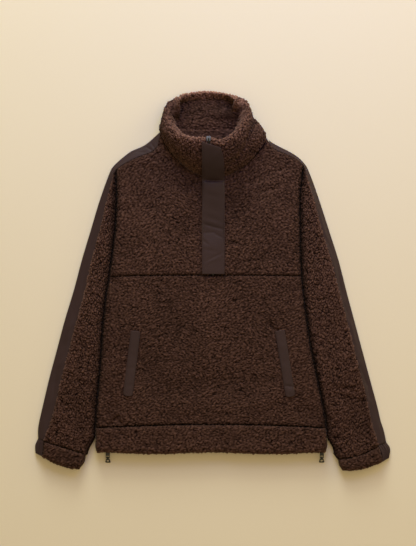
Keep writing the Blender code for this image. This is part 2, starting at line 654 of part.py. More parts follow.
def sleeve(suffix, rows, side, count=20):
    """Front, back and folded strip of one sleeve."""
    fold, seam, inner = sleeve_lines(rows, side, count)
    run = unit(fold[1] - fold[0])
    fold[0] += run * SEAM_GAP
    seam[0] += run * SEAM_GAP
    strip = ribbon(f"sleeve_strip_{suffix}", fold, seam, STRIP_SEAM_HEIGHT)
    toward = unit(inner - seam)
    start = seam + toward * SEAM_GAP / 2
    start[0] += run * SEAM_GAP
    inner[0] += run * SEAM_GAP
    pieces = [strip]
    for name, columns, facing_up in (("sleeve_front", 9, True), ("sleeve_back", 4, False)):
        fractions = eased(columns)[:, None]
        head = start[0] + (inner[0] - start[0]) * fractions
        cuff = start[-1] + (inner[-1] - start[-1]) * fractions
        cuff = cuff + cuff_bow(side, fractions)
        plan = patch(head, cuff, start, inner)
        if facing_up:
            share = rolled(plan, AT_STRIP, AT_SIDE, NO_ROLL, AT_SEAM)
            under = FLEECE_PLY + PLY_GAP
            top = under + (SLEEVE_HEIGHT - under + fold_height(plan)) * share
            pieces.append(wall(f"{name}_{suffix}", lift(plan, top), lift(plan, under), SHERPA))
        else:
            share = rolled(plan, NO_ROLL, AT_SIDE, NO_ROLL, NO_ROLL)
            lowest = FLEECE_PLY * (1 - share)
            pieces.append(wall(f"{name}_{suffix}", lift(plan, lowest), lift(plan, FLEECE_PLY), SHERPA))
    return pieces


def cuff_bow(side, fractions):
    """How far the cuff seam bows towards the hand between its ends."""
    bow = CUFF_SEAM_BOW[0] if side < 0 else CUFF_SEAM_BOW[1]
    return np.concatenate((0 * fractions, -bow * np.sin(np.pi * fractions)), axis=1)


def cuff(suffix, rows, side):
    """Fleece front and back of one cuff, and its gathered nylon round the fold."""
    table = smooth(rows, eased(4))
    fold, gather, inner = table[:, 1:3], table[:, 3:5], table[:, 5:7]
    below = np.array((0.0, -SEAM_GAP))
    fold[0] += below
    gather[0] += below
    inner[0] += below
    ribbon(f"cuff_gather_{suffix}", fold, gather, GATHER_SEAM_HEIGHT, GATHER_WAVES,
           GATHER_WAVE_HEIGHT, points=2 * GATHER_WAVES)
    start = gather + unit(inner - gather) * SEAM_GAP / 2
    bow = CUFF_EDGE_BOW[0] if side < 0 else CUFF_EDGE_BOW[1]
    for name, columns, facing_up in (("cuff_front", 9, True), ("cuff_back", 4, False)):
        fractions = eased(columns)[:, None]
        seam = start[0] + (inner[0] - start[0]) * fractions + cuff_bow(side, fractions)
        edge = start[-1] + (inner[-1] - start[-1]) * fractions
        edge = edge + np.concatenate((0 * fractions, -bow * np.sin(np.pi * fractions)), axis=1)
        plan = patch(seam, edge, start, inner)
        if facing_up:
            share = rolled(plan, AT_STRIP, AT_EDGE, AT_SEAM, AT_EDGE)
            under = FLEECE_PLY + PLY_GAP
            top = under + (CUFF_HEIGHT - under) * share
            wall(f"{name}_{suffix}", lift(plan, top), lift(plan, under), SHERPA)
        else:
            share = rolled(plan, NO_ROLL, AT_EDGE, NO_ROLL, AT_EDGE)
            lowest = FLEECE_PLY * (1 - share)
            wall(f"{name}_{suffix}", lift(plan, lowest), lift(plan, FLEECE_PLY), SHERPA)


# Collar, zip and placket -----------------------------------------------------------------------

def collar_middle():
    """Grid of the collar's middle surface, its outward normals and its direction to the rim."""
    along = COLLAR_RING[-1].along * np.linspace(0, 1, COLLAR_STEPS + 1)
    table = smooth(COLLAR_RING, along)
    base, rim, belly = table[:, 1:4], table[:, 4:7], table[:, 7:8]
    around = np.gradient((base + rim) / 2, axis=0)
    outward = unit(np.cross(around, rim - base))
    levels = np.array(COLLAR_LEVELS)[None, :, None]
    middle = base[:, None] + (rim - base)[:, None] * levels
    middle = middle + 4 * levels * (1 - levels) * (belly * outward)[:, None]
    middle[..., 2] = np.maximum(middle[..., 2], COLLAR_PLY_GAP / 2 + COLLAR_PLY)
    up = unit(np.gradient(middle, np.array(COLLAR_LEVELS), axis=1))
    normal = unit(np.cross(np.gradient(middle, axis=0), up))
    return middle, normal, up, table[:, 8]


def collar(middle, normal, up, lining_ply):
    """Outer layer, which rolls over the rim, and inner layer that it meets there."""
    gap, ply = COLLAR_PLY_GAP / 2, COLLAR_PLY
    near, far = middle + normal * gap, middle + normal * (gap + ply)
    rim, rim_normal, rim_up = middle[:, -1:], normal[:, -1:], up[:, -1:]
    turn = np.radians(np.array(RIM_ANGLES))[None, :, None]
    spoke = rim_normal * np.cos(turn) + rim_up * np.sin(turn)
    near = np.concatenate((near, rim + spoke * gap), axis=1)
    far = np.concatenate((far, rim + spoke * (gap + ply)), axis=1)
    wall("collar_outer", far, near, SHERPA)
    lining = middle.copy()
    lining[:, -1:] -= up[:, -1:] * LINING_DROP
    inside = normal * (gap + lining_ply[:, None, None])
    wall("collar_inner", lining - normal * gap, lining - inside, SHERPA)
    return far


def back_neckline(middle, normal, up):
    """Plan points of the back panel's neck, from -X to +X, just clear of the collar's foot."""
    foot, reach = middle[:, 0], COLLAR_PLY + COLLAR_PLY_GAP / 2
    corner = foot + normal[:, 0] * reach
    outward = -unit(up[:, 0, :2])
    sticks_out = np.maximum(np.sum((corner - foot)[:, :2] * outward, axis=1), 0.0)
    line = foot[:, :2] + outward * (sticks_out + 2 * SEAM_GAP)[:, None]
    on_the_floor = corner[:, 2] < FLEECE_PLY + PLY_GAP
    return line[on_the_floor][::-1]


def neckline(foot, side):
    """Plan points just outside the collar's foot, from its widest point to the zip."""
    widest = int(np.argmax(foot[:, 0] * side))
    line = foot[widest::-1, :2] if side > 0 else foot[widest:, :2]
    run = unit(np.gradient(line, axis=0)) * -side
    outward = np.stack((run[:, 1], -run[:, 0]), axis=1)
    beside_fold = NECK_CLEARANCE * np.exp(-np.arange(len(line)) / 2.0)[:, None]
    line = line + outward * (SEAM_GAP + beside_fold)
    strip = SHOULDER_LEFT if side < 0 else SHOULDER_RIGHT
    return line[line[:, 1] < strip[0].fold_y - NECK_CORNER]


def zip_tape(middle):
    """Closed zip with its tape, in the slit between the yoke halves and up the collar."""
    climb = (middle[0] + middle[-1]) / 2
    over_rim = climb[-1] + unit(climb[-1] - climb[-2]) * ZIP_OVER_RIM
    yoke_y = np.linspace(YOKE_SEAM_MIDDLE + ZIP_FOOT, climb[0, 1] - ZIP_TURN, 9)
    flat = np.stack((zip_line(yoke_y), yoke_y, np.full_like(yoke_y, ZIP_HEIGHT)), axis=1)
    path = np.concatenate((flat, climb, over_rim[None]))
    run = unit(np.gradient(path, axis=0))
    rise = unit(np.stack((0 * run[:, 0], -run[:, 2], run[:, 1]), axis=1))
    sides = np.array((-ZIP_HALF_WIDTH, 0.0, ZIP_HALF_WIDTH))[None, :, None] * np.array((1.0, 0, 0))
    top = path[:, None] + sides + rise[:, None] * ZIP_THICKNESS / 2
    low = path[:, None] + sides - rise[:, None] * ZIP_THICKNESS / 2
    wall("neck_zip", top, low, ZIP_TAPE)
    return path


def tree_of(items):
    """Search tree over the surfaces of several objects."""
    points, faces = [], []
    for item in items:
        first = len(points)
        points += [vertex.co.copy() for vertex in item.data.vertices]
        faces += [tuple(first + index for index in face.vertices) for face in item.data.polygons]
    return BVHTree.FromPolygons(points, faces)


def surface_height(tree, plan, reach, along_reach):
    """Height of the cloth under plan points: the highest within a reach across and along."""
    heights = np.zeros(plan.shape[:2])
    for row, column in np.ndindex(plan.shape[:2]):
        x, y = plan[row, column]
        for across, along in ((0, 0), (-reach, 0), (reach, 0), (0, -along_reach), (0, along_reach)):
            start = Vector(world((x + across, y + along, 200.0)))
            hit = tree.ray_cast(start, Vector((0.0, 0.0, -1.0)))[0]
            if hit is not None:
                heights[row, column] = max(heights[row, column], hit.z / MM)
    return heights


def placket(panels):
    """Nylon placket over the zip, from the yoke seam up the collar."""
    tree = tree_of(panels)
    low_y, high_y = PLACKET_EDGES[0].y, PLACKET_EDGES[-1].y
    foot = low_y + np.array(PLACKET_FOOT_ROWS)
    climb = np.linspace(PLACKET_CLIMB, high_y, 16)
    stops = np.concatenate((foot, np.linspace(*PLACKET_FLAT, 7), climb))
    edges = smooth(PLACKET_EDGES, stops)
    across = np.linspace(0, 1, 7)[None, :]
    x = edges[:, 1:2] + (edges[:, 2:3] - edges[:, 1:2]) * across
    slant = np.clip((stops - PLACKET_CLIMB) / (high_y - PLACKET_CLIMB), 0, 1)[:, None] ** 2
    y = stops[:, None] - PLACKET_TOP_SLOPE * across * slant
    plan = np.stack((x, y), axis=2)
    heights = surface_height(tree, plan, *PLACKET_REACH)
    ends = heights[:, [0, -1]]
    heights = np.maximum(heights, ends[:, :1] + (ends[:, 1:] - ends[:, :1]) * across)
    steepness = np.abs(np.gradient(heights, axis=0) / np.gradient(y, axis=0))
    under = lift(plan, heights + PLACKET_LIFT * np.hypot(1.0, steepness))
    slope = unit(np.cross(np.gradient(under, axis=1), np.gradient(under, axis=0)))
    return wall("placket", under + slope * PLACKET_THICKNESS, under, NYLON_CLOTH)


def pocket_welt(welt, panel):
    """Nylon welt of a side pocket, lying on the lower front."""
    tree = tree_of([panel])
    top = np.array((welt.top_x, welt.top_y))
    low = np.array((welt.low_x, welt.low_y))
    run = unit(top - low)
    side = np.array((run[1], -run[0]))
    along = np.linspace(0, 1, 11)[:, None, None]
    across = (np.linspace(-0.5, 0.5, 4) * WELT_WIDTH)[None, :, None]
    plan = low + (top - low) * along + side * across
    heights = surface_height(tree, plan, WELT_REACH, WELT_REACH) + WELT_LIFT
    thickness = WELT_THICKNESS * np.array((0.6, 1.0, 1.0, 0.6))[None, :]
    return wall(welt.name, lift(plan, heights + thickness), lift(plan, heights), NYLON_CLOTH)


# Metal -----------------------------------------------------------------------------------------

def prism(name, outline, low_z, high_z, finish):
    """A flat outline in X and Y, raised between two heights, in the object's own frame."""
    count = len(outline)
    points = [(x * MM, y * MM, low_z * MM) for x, y in outline]
    points += [(x * MM, y * MM, high_z * MM) for x, y in outline]
    faces = [tuple(range(count - 1, -1, -1)), tuple(range(count, 2 * count))]
    for here in range(count):
        there = (here + 1) % count
        faces.append((here, there, there + count, here + count))
    return solid(name, points, faces, finish)


def rod(name, radius, length, along, finish, sides=16):
    """A cylinder about X or Z through the object's own origin."""
    points = []
    for end in (-length / 2, length / 2):
        for step in range(sides):
            angle = 2 * math.pi * (step + 0.5) / sides
            a, b = radius * math.cos(angle), radius * math.sin(angle)
            point = (end, a, b) if along == "x" else (a, b, end)
            points.append(tuple(value * MM for value in point))
    faces = [tuple(range(sides)), tuple(range(sides, 2 * sides))]
    for here in range(sides):
        there = (here + 1) % sides
        faces.append((here, there, there + sides, here + sides))
    return solid(name, points, faces, finish)


def combine(item, tool, operation):
    """Join a hidden helper to an object, or cut it out, by a Boolean modifier."""
    tool.parent = item
    tool.hide_render = True
    tool.display_type = "WIRE"
    change = item.modifiers.new(tool.name, "BOOLEAN")
    change.operation = operation
    change.object = tool
    change.solver = "EXACT"


def box_outline(width, low_y, high_y):
    """Corners of a rectangle about X = 0."""
    half = width / 2
    return [(-half, low_y), (half, low_y), (half, high_y), (-half, high_y)]


def hem_slider(suffix, pin):
    """Zip slider at the hem with two lugs and the pin that its pull tab turns on."""
    back = LUG_REACH
    name = f"hem_slider_{suffix}"
    body = prism(name, box_outline(SLIDER_WIDTH, back, back + SLIDER_LENGTH),
                 -SLIDER_THICKNESS / 2, SLIDER_THICKNESS / 2, DARK_METAL)
    body.location = Vector(world(pin))
    reach = PIN_RADIUS + LUG_WALL
    inside = SLIDER_WIDTH / 2 - LUG_THICKNESS
    outside = SLIDER_WIDTH / 2
    for label, low_x, high_x in (("lug_a", -outside, -inside), ("lug_b", inside, outside)):
        outline = [(low_x, -reach), (high_x, -reach), (high_x, back + 1), (low_x, back + 1)]
        combine(body, prism(f"{name}_{label}", outline, -reach, reach, DARK_METAL), "UNION")
    length = SLIDER_WIDTH - LUG_THICKNESS
    combine(body, rod(f"{name}_pin", PIN_RADIUS, length, "x", DARK_METAL), "UNION")
    return body


def hem_pull(suffix, pin):
    """Pull tab that hangs on the slider's pin, with a round hole in its wide end."""
    name = f"hem_pull_{suffix}"
    end, neck = -TAB_LENGTH, -(EYE_RADIUS + TAB_NECK_LENGTH)
    half_neck, half_top, half_end = TAB_NECK_WIDTH / 2, TAB_TOP_WIDTH / 2, TAB_END_WIDTH / 2
    cut = TAB_CORNER * (1 - math.sqrt(0.5))
    outline = [(-half_neck, SEAM_GAP - EYE_RADIUS), (-half_neck, neck), (-half_top, neck - 1.0)]
    outline += [(-half_end, end + TAB_CORNER), (-half_end + cut, end + cut)]
    outline += [(-half_end + TAB_CORNER, end)]
    outline += [(-x, y) for x, y in reversed(outline)]
    half = TAB_THICKNESS / 2
    tab = prism(name, outline, -half, half, DARK_METAL)
    tab.location = Vector(world(pin))
    tab.rotation_euler = (math.radians(TAB_HANG_DEG), 0.0, 0.0)
    combine(tab, rod(f"{name}_eye", EYE_RADIUS, TAB_NECK_WIDTH, "x", DARK_METAL), "UNION")
    combine(tab, rod(f"{name}_bore", EYE_BORE, TAB_NECK_WIDTH * 3, "x", DARK_METAL), "DIFFERENCE")
    hole = rod(f"{name}_hole", TAB_HOLE_RADIUS, TAB_THICKNESS * 3, "z", DARK_METAL, sides=20)
    hole.location = (0.0, (end + TAB_HOLE_RADIUS + TAB_RIM) * MM, 0.0)
    combine(tab, hole, "DIFFERENCE")
    return tab


def neck_slider(zip_path):
    """Closed zip's slider at the rim: a crown with two flanks that point down the zip."""
    top, before = zip_path[-1], zip_path[-2]
    run = unit(top - before)
    half, flank, end = CROWN_WIDTH / 2, FLANK_END_WIDTH / 2, CROWN_LENGTH / 2
    outline = [(1 - half, end), (-half, end - 1.5), (-flank, -end), (-CROWN_SLOT, -end)]
    outline += [(-CROWN_SLOT, 0.6)]
    outline += [(-x, y) for x, y in reversed(outline)]
    slider = prism("neck_slider", outline, 0.0, CROWN_THICKNESS, BRIGHT_METAL)
    tilt = math.atan2(run[2], run[1])
    rise = np.array((0.0, -math.sin(tilt), math.cos(tilt)))
    seat = top + rise * (ZIP_THICKNESS / 2 + SEAM_GAP) - run * CROWN_SETBACK
    slider.location = Vector(world(seat))
    slider.rotation_euler = (tilt, 0.0, 0.0)
    return slider


def build():
    """Make every piece."""
    clear_scene()
    middle, normal, up, lining_ply = collar_middle()
    outer = collar(middle, normal, up, lining_ply)
    foot = outer[:, 0]
    yoke_left = front_yoke("front_yoke_left", -1, neckline(foot, -1))
    yoke_right = front_yoke("front_yoke_right", 1, neckline(foot, 1))
    lower = front_lower()
    _, fractions = back_panel(back_neckline(middle, normal, up))
    hem_band("hem_band_front", eased(18), True)
    hem_band("hem_band_back", fractions, False)
    shoulder_strip("shoulder_strip_left", SHOULDER_LEFT)
    shoulder_strip("shoulder_strip_right", SHOULDER_RIGHT)
    for suffix, side, sleeve_rows, cuff_rows in (("left", -1, SLEEVE_LEFT, CUFF_LEFT),
                                                 ("right", 1, SLEEVE_RIGHT, CUFF_RIGHT)):
        sleeve(suffix, sleeve_rows, side)
        cuff(suffix, cuff_rows, side)
    path = zip_tape(middle)
    placket([yoke_left, yoke_right, bpy.data.objects["collar_outer"]])
    for welt in WELTS:
        pocket_welt(welt, lower)
    neck_slider(path)
    for suffix, x in HEM_ZIPS:
        y = hem_edge(np.array(x)) - SEAM_GAP - SLIDER_LENGTH - LUG_REACH
        pin = (x, float(y), SLIDER_Z)
        hem_slider(suffix, pin)
        hem_pull(suffix, pin)


build()
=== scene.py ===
"""Looks of a sherpa fleece pullover with a half zip, lying flat on its back, front up.

Lengths are millimetres in the garment's own frame, +X to the right seen from above with the collar
away, +Y from hem to collar and +Z up; `world` moves them into the frame's metres. Every fleece
piece is a closed wall whose outer side carries the curls of the pile, every nylon piece a closed
thin wall with its creases, and the zip parts are modelled metal.
"""

import logging
import math
from dataclasses import dataclass
from enum import Enum, IntEnum
from typing import Callable, NamedTuple, Optional, Sequence, Union

import bmesh
import bpy
import numpy as np
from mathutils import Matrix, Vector
from mathutils.bvhtree import BVHTree

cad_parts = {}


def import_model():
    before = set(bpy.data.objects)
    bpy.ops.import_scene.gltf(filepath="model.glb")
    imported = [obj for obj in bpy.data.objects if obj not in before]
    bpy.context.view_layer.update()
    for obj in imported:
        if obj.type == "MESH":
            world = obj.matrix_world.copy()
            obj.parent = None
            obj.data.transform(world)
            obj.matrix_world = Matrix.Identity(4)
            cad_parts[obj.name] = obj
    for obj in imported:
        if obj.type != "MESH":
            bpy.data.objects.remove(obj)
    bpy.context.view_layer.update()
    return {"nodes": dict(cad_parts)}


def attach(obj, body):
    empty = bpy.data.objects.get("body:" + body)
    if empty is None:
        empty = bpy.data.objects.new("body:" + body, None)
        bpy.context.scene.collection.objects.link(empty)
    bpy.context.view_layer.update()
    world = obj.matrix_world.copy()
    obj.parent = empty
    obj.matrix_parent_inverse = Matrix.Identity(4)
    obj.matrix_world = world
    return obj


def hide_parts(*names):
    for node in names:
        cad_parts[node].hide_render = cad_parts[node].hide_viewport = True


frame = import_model()

LOG = logging.getLogger("pullover")
FLOOR_NAME = "studio_floor_plane"
MM = 0.001
FRAME_SHIFT = (-1.46, -1.76, 0.0)

Colour = tuple[float, float, float]
Grid = np.ndarray  # of points, or of numbers over points
Amount = Union[float, Grid]
Item = bpy.types.Object
Node = bpy.types.Node
Socket = bpy.types.NodeSocket


class Side(IntEnum):
    """Side of the garment as seen from above with the collar away."""

    LEFT = -1
    RIGHT = 1

    @property
    def label(self) -> str:
        """The word that node names end in."""
        return self.name.lower()


class Facing(Enum):
    """Whether a panel is the upper cloth or the one that lies on the floor."""

    UP = "front"
    DOWN = "back"


class Held(Enum):
    """How a piece of cloth is held."""

    LAID = "laid"
    FOLDED = "folded"
    GATHERED = "gathered"
    STRETCHED = "stretched"


# Cloth and seams, as in the solids ----------

SEAM_GAP = 0.3
SIDE_CLEARANCE = 0.06
PLY_GAP = 0.5
FLEECE_PLY = 8.75
BODY_HEIGHT = 20.0
SLEEVE_HEIGHT = 20.5
CUFF_HEIGHT = 22.0
HEM_BACK_PLY = 11.0
HEM_HEIGHT = 26.0
NYLON = 1.8
STRIP_BEND = 2.2
STRIP_SEAM_HEIGHT = 11.6
GATHER_SEAM_HEIGHT = 13.0
YOKE_SEAM_MIDDLE = 13.5
YOKE_SEAM_DROP = 5.0
HEM_SEAM_MIDDLE = -307.0
HEM_SEAM_DROP = 7.5
HEM_EDGE_MIDDLE = -367.5
HEM_EDGE_DROP = 3.5
BODY_HALF_WIDTH = 248.0
ZIP_GAP = 3.2

FINE_MESH = 1.40  # between the points of a fleece face that shows
BACK_MESH = 3.6  # of one that lies on the floor
SEAM_ROWS = 600  # points along a border before it is spaced evenly
SEAM_PAINTED_SHADE = 0.22  # tone of the painted shade where the pile is pressed down to nothing at a seam
SEAM_RIM_PAINTED_SHADE = 0.80  # tone of the painted shade on the walls' rims in a seam
NARROWEST_CUT = 10.01  # narrowest width that a cut is given


Row = tuple[float, ...]
Rows = tuple[Row, ...]

# The line where body and sleeve lie side by side: y, left x, right x.
BODY_SIDES = (
    (-371, -245, 240.5), (-362, -249.5, 245.8), (-336, -250.8, 247.2),
    (-293, -250, 243.5), (-241, -246, 233.5), (-189, -241, 222.5),
    (-137, -237.5, 212), (-85, -234, 204.5), (-34, -228.5, 198),
    (18, -220.5, 193), (70, -213.5, 190.5), (120, -208, 190),
    (200, -205.5, 190.5), (225, -206.5, 193.5), (252, -207, 197.4),
)

# Folded and sewn edge of the shoulder strips, from neck to armhole: station, fold x y, seam x y.
SHOULDERS = {
    Side.LEFT: (
        (0, -110.5, 324, -118.5, 289.5), (1, -142.9, 295.6, -130.5, 279),
        (2, -173.5, 281.2, -156, 269), (3, -192.9, 266.9, -180, 258.5),
        (4, -208.7, 252.9, -203, 244.3), (5, -217.5, 242.4, -212.5, 230.9),
    ),
    Side.RIGHT: (
        (0, 124.5, 303, 126.5, 293.5), (1, 141, 293.2, 136, 284.3),
        (2, 167.4, 279.9, 161.3, 273.5), (3, 187.4, 266.8, 181.3, 263.3),
        (4, 200.9, 252.3, 195.5, 251.8), (5, 206.3, 244, 200.8, 239),
    ),
}

# Sleeves from their head down: station, fold x y, sewn edge x y, inner edge y and its inset.
SLEEVES = {
    Side.LEFT: (
        (0, -217.5, 242.4, -212.5, 230.9, 237.6, 0),
        (0.6, -226.8, 219.2, -215.9, 212.2, 206, 0),
        (1.5, -241.9, 176, -226.6, 171.3, 165, 0),
        (3, -261.4, 111.2, -242.5, 106.4, 98, 0),
        (4.5, -280.8, 46.4, -259.9, 41.3, 31, 0),
        (6, -298, -18.4, -274.3, -24.4, -36, 0),
        (7.5, -317.5, -83.2, -292.2, -89.3, -103, 0),
        (9, -334.8, -148, -309.6, -154.4, -172, 0),
        (10.5, -352, -212.8, -326.9, -219.5, -241, 0),
        (12, -367.2, -277.6, -342, -284.2, -308, 0),
        (12.6, -372.6, -301.3, -349.4, -307.3, -333, 0),
        (13.1, -375.4, -320.8, -356.6, -326, -353, 9),
        (13.5, -375, -338.5, -362.4, -343.3, -373.3, 24),
    ),
    Side.RIGHT: (
        (0, 206.3, 244, 200.8, 239, 246.4, 0),
        (0.6, 217, 217, 208, 212.4, 204, 0),
        (1.5, 231.2, 176, 219.8, 173, 165, 0),
        (3, 252.2, 111.2, 237, 108, 98, 0),
        (4.5, 272.8, 46.4, 256.9, 43.4, 31, 0),
        (6, 289.4, -18.4, 273.7, -21.4, -36, 0),
        (7.5, 306.7, -83.2, 290.5, -86.4, -103, 0),
        (9, 324, -148, 307.4, -151.8, -172, 0),
        (10.5, 341.3, -212.8, 323.9, -217.4, -241, 0),
        (12, 358.6, -277.6, 339.3, -282.8, -308, 0),
        (12.6, 364, -301.3, 343.8, -307, -334, 0),
        (13.2, 371.5, -325, 352.5, -331.3, -362, 15),
        (13.6, 375.8, -346.7, 358.1, -353.7, -383.4, 30),
    ),
}

# Cuffs from seam to edge: station, outer fold x y, edge of the gathered nylon x y, inner fold x y.
CUFFS = {
    Side.LEFT: (
        (0, -375, -338.5, -362.4, -343.3, -274, -374),
        (0.5, -381.4, -353.5, -364, -362, -277.5, -389.5),
        (1, -381, -369.5, -366.5, -376, -289, -404),
    ),
    Side.RIGHT: (
        (0, 375.8, -346.7, 358.1, -353.7, 274.2, -384),
        (0.5, 384.3, -360.5, 365.5, -371, 276.5, -395.5),
        (1, 382, -380, 367.5, -387.5, 283.5, -406.5),
    ),
}
CUFF_SEAM_BOW = {Side.LEFT: 0.0, Side.RIGHT: 6.0}
CUFF_EDGE_BOW = 6.5

# Collar from its front edge at +X round: station, foot x y z, rim x y z, belly, lining thickness.
COLLAR_RING = (
    (0, 1, 227, 15, -1.6, 299, 66, 9, 6.8),
    (1, 30, 233, 15.5, 20.5, 294.5, 64, 9, 6.8),
    (2, 67, 254, 17.5, 49.5, 312, 56, 8, 6.8),
    (3.1, 93, 278.5, 19.8, 66, 335, 46, 5, 6.4),
    (4.6, 110, 299, 20.4, 74, 355, 35, 1, 5),
    (6.3, 115, 313, 15.6, 74, 376, 23, -3, 2.8),
    (8, 105, 322.5, 9, 59, 392.5, 12, -2, 3.4),
    (9.2, 80, 326.5, 7, 31, 400, 7, 0, 6.8),
    (10, 35, 326.5, 7, -4, 404.13, 7, 0, 6.8),
    (10.8, -9, 326.5, 7, -34, 402, 7, 0, 6.8),
    (11.7, -49, 326.5, 7, -59, 397.5, 7, 0, 6),
    (12.9, -82, 327, 7.8, -80, 389, 11, 2, 4.6),
    (14.6, -98.5, 324, 13, -94.5, 373.5, 21.5, 4, 3.6),
    (16.3, -97.5, 312, 19.6, -96, 353, 34, 8, 5),
    (17.8, -89.5, 291, 20.4, -90, 331.5, 46, 8, 6.4),
    (18.9, -72, 269, 18, -73, 310, 57, 8, 6.8),
    (19.9, -43, 244, 16, -44.5, 300, 64, 9, 6.8),
    (20.9, -5.4, 227, 15, -13, 299, 66, 9, 6.8),
)

# Placket: y, left edge x, right edge x.
PLACKET_EDGES = (
    (16, -21.6, 27), (120, -21.6, 27), (220, -21.6, 26.8),
    (262, -21.6, 25), (296, -22, 18.5),
)


# Soft ridges (positive height) and troughs (negative), which also get painted light and shade: x y
# of both ends, width, height.
BODY_FOLDS = (
    (321, -205, 334, -345, 9, -4), (334, -215, 349, -335, 9, 2.5),
    (300, -250, 318, -360, 16, -2.5), (285, -120, 300, -260, 22, 1.8),
    (245, -240, 330, -262, 14, -2.2), (240, 40, 262, -60, 20, 1.8),
    (-300, -245, -270, -345, 20, -2.8), (-335, -260, -345, -330, 14, 2),
    (-262, 40, -285, -80, 18, 1.6), (-300, -120, -262, -180, 20, -1.8),
    (-237, 195, -212, 178, 8, -2.6), (-176, -122, -118, -232, 26, -2.4),
    (-118, -236, 10, -222, 26, -2.4), (10, -222, 100, -226, 26, -2.2),
    (-8, -20, -14, -150, 34, 2.2), (-105, -40, -58, -145, 32, -2),
    (76, -25, 138, -135, 34, -2.2), (76, -268, 152, -240, 18, 2.2),
    (182, -265, 234, -306, 20, -2.8), (-226, -290, -198, -262, 14, -2.4),
    (124, -86, 136, -100, 8, -2.4), (-216, 9, -202, -6, 8, -2.8),
    # These two troughs below the collar also stand in for the collar's shadow, as painted shade.
    (20, 158, 80, 172, 30, -4.4), (-84, 212, -26, 202, 22, -3.2),
    (-180, 150, -110, 60, 30, 2), (-60, 150, -52, 70, 26, -2),
    (90, 180, 170, 110, 30, 2), (60, 215, 120, 245, 20, -2.2),
    (-150, 235, -95, 215, 18, -2), (150, 60, 60, 40, 22, -1.6),
)
HEM_FOLDS = (
    (-215, -304, -192, -334, 9, -3), (-120, -318, -112, -362, 18, -1.6),
    (20, -315, 26, -362, 24, -1.8), (70, -318, 92, -350, 14, -1.6),
    (160, -318, 152, -362, 20, -1.6),
)
# Creases too small for the solids: puckers beside seams, and the pocket mouth's corner.
SMALL_CREASES = (
    (-60, 112, 60, 108, 36, -3),
    (-30, 232, -84, 252, 10, -2), (-90, -296, 70, -296, 18, -2.4),
    (123, -87.5, 131, -101, 3, -3.4), (132, -101, 146, -102.5, 2.6, -3),
    (-222, -312, -196, -284, 5, -4.2), (-208, -296, -190, -306, 3.4, -3.6),
    (-214, -276, -186, -292, 6, 2.6),
    (-218, 5, -205, -9, 4, -2.8), (-110, -2, -92, -17, 5, -2.4),
    (-224, 212, -214, 200, 4, -2.6), (-223, 196, -212, 186, 3.6, -2.4),
    (196, 210, 206, 198, 4, -2.4), (195, 190, 208, 176, 4, -2),
    (64, 205, 128, 226, 5, -1.8), (92, 190, 158, 205, 5, -1.6),
    (108, 226, 166, 246, 5, -1.6), (-150, 248, -112, 236, 5, -1.6),
    (260, -225, 314, -238, 6, -2), (-268, 120, -240, 96, 5, -1.8),
    (-300, 20, -262, -6, 6, -1.6), (-322, -96, -292, -120, 6, -1.6),
    (-298, -205, -262, -232, 6, -1.8), (-330, -250, -300, -282, 5, -2),
)


# On the collar's wall: 20 mm for each row of its ring, and millimetres above its foot.
COLLAR_FOLDS = (
    (200, 38, 100, 56, 11, -15), (100, 58, 62, 58, 8, -5), (62, 58, 26, 28, 9, -5),
    (76, 26, 120, 18, 12, 4),
    (330, 34, 372, 40, 13, -5), (300, 30, 340, 8, 12, 5), (196, 40, 236, 44, 16, 2),
)


class Roll(NamedTuple):
    """How cloth rolls down at a border: over what width, and what share of height is left."""

    width: float
    keep: Amount


AT_SIDE = Roll(15.0, 0.14)
AT_STRIP = Roll(9.0, 0.30)
AT_SEAM = Roll(8.0, 0.66)
AT_EDGE = Roll(13.0, 0.30)
AT_SLIT = Roll(5.0, 0.85)
AT_NECK = Roll(9.0, 0.90)
NO_ROLL = Roll(1.0, 1.0)


# Plan geometry ----------

def world(points: Grid) -> Grid:
    """Points of the garment's frame, in millimetres, as the frame's metres."""
    return (np.asarray(points, dtype=float) + np.array(FRAME_SHIFT)) * MM


def smooth(rows: Rows, at: Amount) -> Grid:
    """Read a table on a smooth curve through its rows.

    Args:
        rows: Table whose first column is the station.
        at: Stations to read at.

    Returns:
        One row of values for each station, the station first.
    """
    table = np.array(rows, dtype=float)
    stations = table[:, 0]
    slopes = np.gradient(table, stations, axis=0)
    at = np.clip(np.atleast_1d(np.asarray(at, dtype=float)), stations[0], stations[-1])
    low = np.clip(np.searchsorted(stations, at, side="right") - 1, 0, len(stations) - 2)
    span = (stations[low + 1] - stations[low])[:, None]
    t = (at - stations[low])[:, None] / span
    start = (1 + 2 * t) * (1 - t) ** 2 * table[low] + t * (1 - t) ** 2 * span * slopes[low]
    end = t * t * (3 - 2 * t) * table[low + 1] + t * t * (t - 1) * span * slopes[low + 1]
    return start + end


def read_lines(rows: Rows, shares: Grid) -> list[Grid]:
    """Lines of a table at shares of its length, one for each pair of columns."""
    table = smooth(rows, rows[-1][0] * shares)
    return [table[:, first:first + 2] for first in range(1, table.shape[1] - 1, 2)]


def bell(distance: Amount, width: Amount) -> Amount:
    """Share that falls off round a middle by a bell curve."""
    return np.exp(-(distance / width) ** 2)


def towards(distance: Grid, reach: float) -> Grid:
    """Share that fades from 1 at an edge with the distance from it."""
    return np.exp(-distance / reach)


def ramp(value: Amount, start: Amount, span: float) -> Amount:
    """Share that grows from 0 at a start to 1 after a span."""
    return np.clip((value - start) / span, 0.0, 1.0)


def unit(vectors: Grid) -> Grid:
    """The vectors at length one."""
    return vectors / np.maximum(np.linalg.norm(vectors, axis=-1, keepdims=True), 1e-9)


def arc(line: Grid) -> Grid:
    """Length along a line of points, from 0 at its first."""
    steps = np.linalg.norm(np.diff(line, axis=0), axis=1)
    return np.concatenate(([0.0], steps.cumsum()))


def spaced(line: Grid, count: int) -> Grid:
    """The same line of points with a number of evenly spaced intervals."""
    stops = np.linspace(0.0, arc(line)[-1], count + 1)
    return np.stack([np.interp(stops, arc(line), values) for values in line.T], 1)


